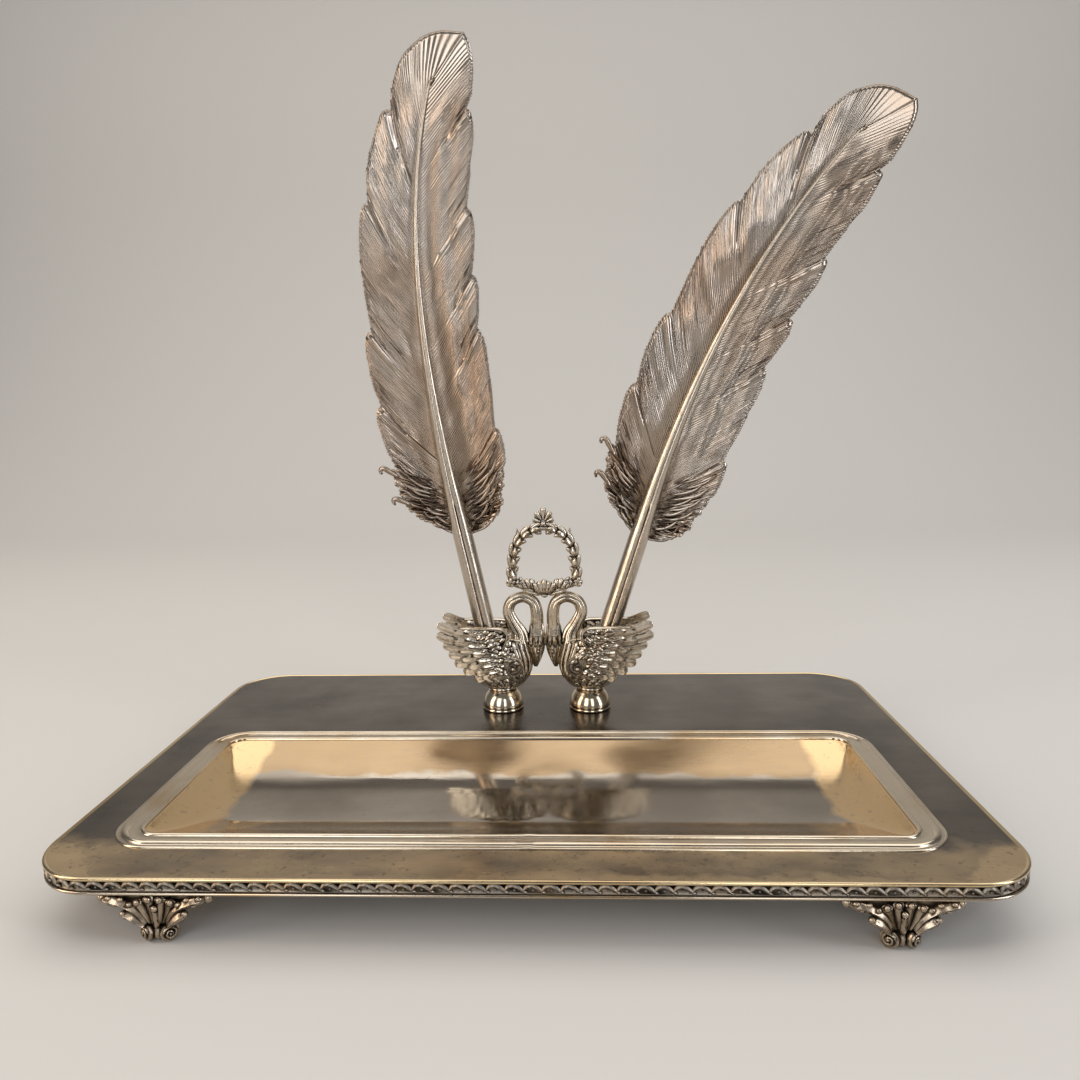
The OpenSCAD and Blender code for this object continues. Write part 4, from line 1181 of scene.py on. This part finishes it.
down_strands = [
    ((79, -12), (82.5, -18), (85.5, -21.8), (87.4, -24.2), (86.6, -25.6), (85.2, -25)),
    ((68.5, -10), (71.5, -16), (74, -20), (75.4, -22.2), (74.6, -23.4), (73.4, -22.8)),
    ((77, -7), (80, -13), (82.5, -17.5), (85.5, -19.8), (86.8, -21.6), (85.4, -22.6)),
    ((73.5, -6), (76, -12), (78.5, -15.8), (81, -18)),
    ((70, -6), (72.5, -11.5), (74.5, -15.5), (77, -17.6), (77.8, -19.4), (76.3, -20)),
    ((66, -5), (68, -10), (69.8, -13.5), (72, -15.8)),
    ((63, -4.5), (64.5, -8), (66, -11.2), (68.6, -13.2)),
    ((59.5, -4), (60.6, -6.5), (62.5, -8.8), (64.5, -10)),
    ((59, 4.5), (59.6, 8.5), (61.6, 12), (65, 14.2)),
    ((62, 5), (62.6, 10), (65, 14), (68.6, 16.4)),
    ((65, 5), (66, 10.5), (69, 15), (73, 17.6)),
    ((69, 5.5), (70.4, 11.5), (73.6, 16), (78, 18.6)),
    ((73, 6), (75, 12), (78.6, 17), (83, 19.6)),
    ((78, 7), (80.4, 13), (84.4, 17.8), (89, 20.6)),
]


def strand_point(line, t, across):
    """A point just before the feather's face, for the downy strands at its root."""
    side = -1 if across < 0 else 1
    b = abs(across) / (HALF_VANE * keyed(left_width if side < 0 else right_width, t))
    return on_pen(line, t, across, 0.35 + 0.5 * b - (rachis_r(t) + 0.15) * max(0, 1 - b * b))


def feather_silver(name, bright, dull, warm):
    """Cast and chased silver plate: warm brown between the barbs, bright along their backs.
    Each barb was cut with a graver, then the whole feather burnished and handled for years."""
    made, tree, shader, place = metal(name)
    shut = add(tree, "Attribute", attribute_name="hollow").outputs["Fac"]
    uv = add(tree, "UVMap", uv_map="UVMap")
    barbs = streaks(tree, uv, (3, 420, 1), 1, 2, 0.35, 0.65)
    bundle = streaks(tree, uv, (2.2, 44, 1), 1, 2, 0.35, 0.68)
    worn = blotches(tree, place, 30, 0.42, 0.62, 3)
    tone = blend(tree, barbs, bright, dull)
    tone = blend(tree, maths(tree, "MULTIPLY", worn, 0.55), tone, warm)
    tone = blend(tree, maths(tree, "MULTIPLY", bundle, 0.8), tone, dull)
    # painted shade: dark brown where the feather's own shape shuts a point in, as under the downy
    # strands
    tone = blend(tree, spread(tree, shut, 0.22, 0.8), tone, linear("5E4D40"))
    coat(tree, shader, tone, spread(tree, barbs, 0, 1, 0.15, 0.3))
    dents(tree, shader, barbs, 0.05)
    return made


vane_silver = feather_silver(
    "feather_silver_chased", linear("EDE4D8"), linear("73665B"), linear("B0957C")
)
for pen, (base, lean) in PENS.items():
    line = pen_line(base, lean)
    mesh = bmesh.new()

    def vane_point(a, b):
        side, out = (-1, 1 - 2 * a) if a < 0.5 else (1, 2 * a - 1)
        return barb_point(line, side, out, VANE_FROM + SPAN * b)

    skin(mesh, 28, 700, vane_point, closed=False)
    mesh.normal_update()
    bmesh.ops.recalc_face_normals(mesh, faces=mesh.faces)
    if sum(f.normal.y for f in mesh.faces) > 0:
        bmesh.ops.reverse_faces(mesh, faces=mesh.faces)
    sheet_faces = len(mesh.faces)
    rng = random.Random(5)
    for k, strand in enumerate(down_strands):
        hooked = k < 2
        for shift in (0,) if hooked else (0, 1.5):
            spine = [
                strand_point(line, t + shift + rng.uniform(-0.35, 0.35), u * (1 - 0.08 * shift))
                for t, u in strand
            ]
            width, thick = (2.1, 1.2) if hooked else (rng.uniform(0.9, 1.6), 0.75)
            leaf(mesh, spine, width, thick, shape=(0.3, 0.7, 1, 1, 0.8, 0.6), rib=0.5,
                 around=8, steps=12)
    mesh.normal_update()
    bmesh.ops.recalc_face_normals(mesh, faces=list(mesh.faces)[sheet_faces:])
    name = "quill_vane_" + pen
    made = piece(name, mesh, vane_silver, "feather_" + pen, [name], 1.5, 75, False)
    wall = made.modifiers.new("thickness", "SOLIDIFY")
    wall.thickness = 0.8 * MM
    wall.offset = -1


# ---- Floor, backdrop, lights and camera ----
# A pale painted floor that sweeps up into the backdrop, one wide soft box overhead, a soft
# panel on each side and two small ones in front, a window's light and a reflecting card.

sweep = bmesh.new()


def sweep_point(a, b):
    """A place on the floor, its bend or the upright backdrop, from front to back."""
    bend_from, bend, long = 600, 500, 4500
    far = b * long - 900
    if far < bend_from:
        y, z = far, 0
    elif far < bend_from + bend * pi / 2:
        turn = (far - bend_from) / bend
        y, z = bend_from + bend * sin(turn), bend - bend * cos(turn)
    else:
        y, z = bend_from + bend, bend + far - bend_from - bend * pi / 2
    return Vector(((a - 0.5) * 6000, y, z))


skin(sweep, 8, 90, sweep_point, closed=False)
bmesh.ops.scale(sweep, vec=(MM, MM, MM), verts=sweep.verts)
floor_data = bpy.data.meshes.new("floor")
sweep.to_mesh(floor_data)
sweep.free()
floor_data.shade_smooth()
floor = bpy.data.objects.new("floor", floor_data)
bpy.context.scene.collection.objects.link(floor)
paint = bpy.data.materials.new("floor_matt_paint")
paint.use_nodes = True
matt = paint.node_tree.nodes["Principled BSDF"].inputs
matt["Base Color"].default_value = linear("C9C7C3")
matt["Roughness"].default_value = 0.75
floor_data.materials.append(paint)


def soft_light(name, spot, aim, width, height, watts, colour):
    """A flat lamp at a spot in metres, turned to what it is aimed at."""
    data = bpy.data.lights.new(name, "AREA")
    data.shape, data.size, data.size_y = "RECTANGLE", width, height
    data.energy, data.color = watts, linear(colour)[:3]
    lamp = bpy.data.objects.new(name, data)
    lamp.location = spot
    lamp.rotation_euler = (Vector(aim) - Vector(spot)).to_track_quat("-Z", "Y").to_euler()
    bpy.context.scene.collection.objects.link(lamp)


soft_light("top_box", (0.0, 0.25, 1.15), (0, 0.05, 0), 2.2, 1.2, 14, "FFFAF4")
soft_light("left_panel", (-0.95, -0.4, 0.5), (0, 0, 0.14), 0.3, 0.9, 4.5, "FFE8D2")
soft_light("right_panel", (0.95, -0.45, 0.5), (0, 0, 0.14), 0.22, 0.9, 4, "F4F7FF")
soft_light("front_window", (-0.42, -0.95, 0.55), (0, 0, 0.14), 0.4, 0.8, 3.4, "FFFFFF")
soft_light("front_card", (0.27, -0.95, 0.5), (0, 0, 0.14), 0.2, 0.7, 1.6, "FFFFFF")

world = bpy.data.worlds.new("room")
bpy.context.scene.world = world
world.use_nodes = True
background = world.node_tree.nodes["Background"]
background.inputs["Color"].default_value = linear("E4E6EA")
background.inputs["Strength"].default_value = 0.2

camera_data = bpy.data.cameras.new("camera")
camera_data.lens, camera_data.sensor_width = 28.333, 36
camera_data.clip_start = 0.01
camera = bpy.data.objects.new("camera", camera_data)
camera.location = (0.01602, -0.28533, 0.13926)
camera.rotation_euler = (
    Matrix.Rotation(0.0469, 3, "Z")
    @ Matrix.Rotation(pi / 2 - 0.1583, 3, "X")
    @ Matrix.Rotation(-0.0196, 3, "Z")
).to_euler()
bpy.context.scene.collection.objects.link(camera)
bpy.context.scene.camera = camera
bpy.context.scene.view_settings.view_transform = "Standard"
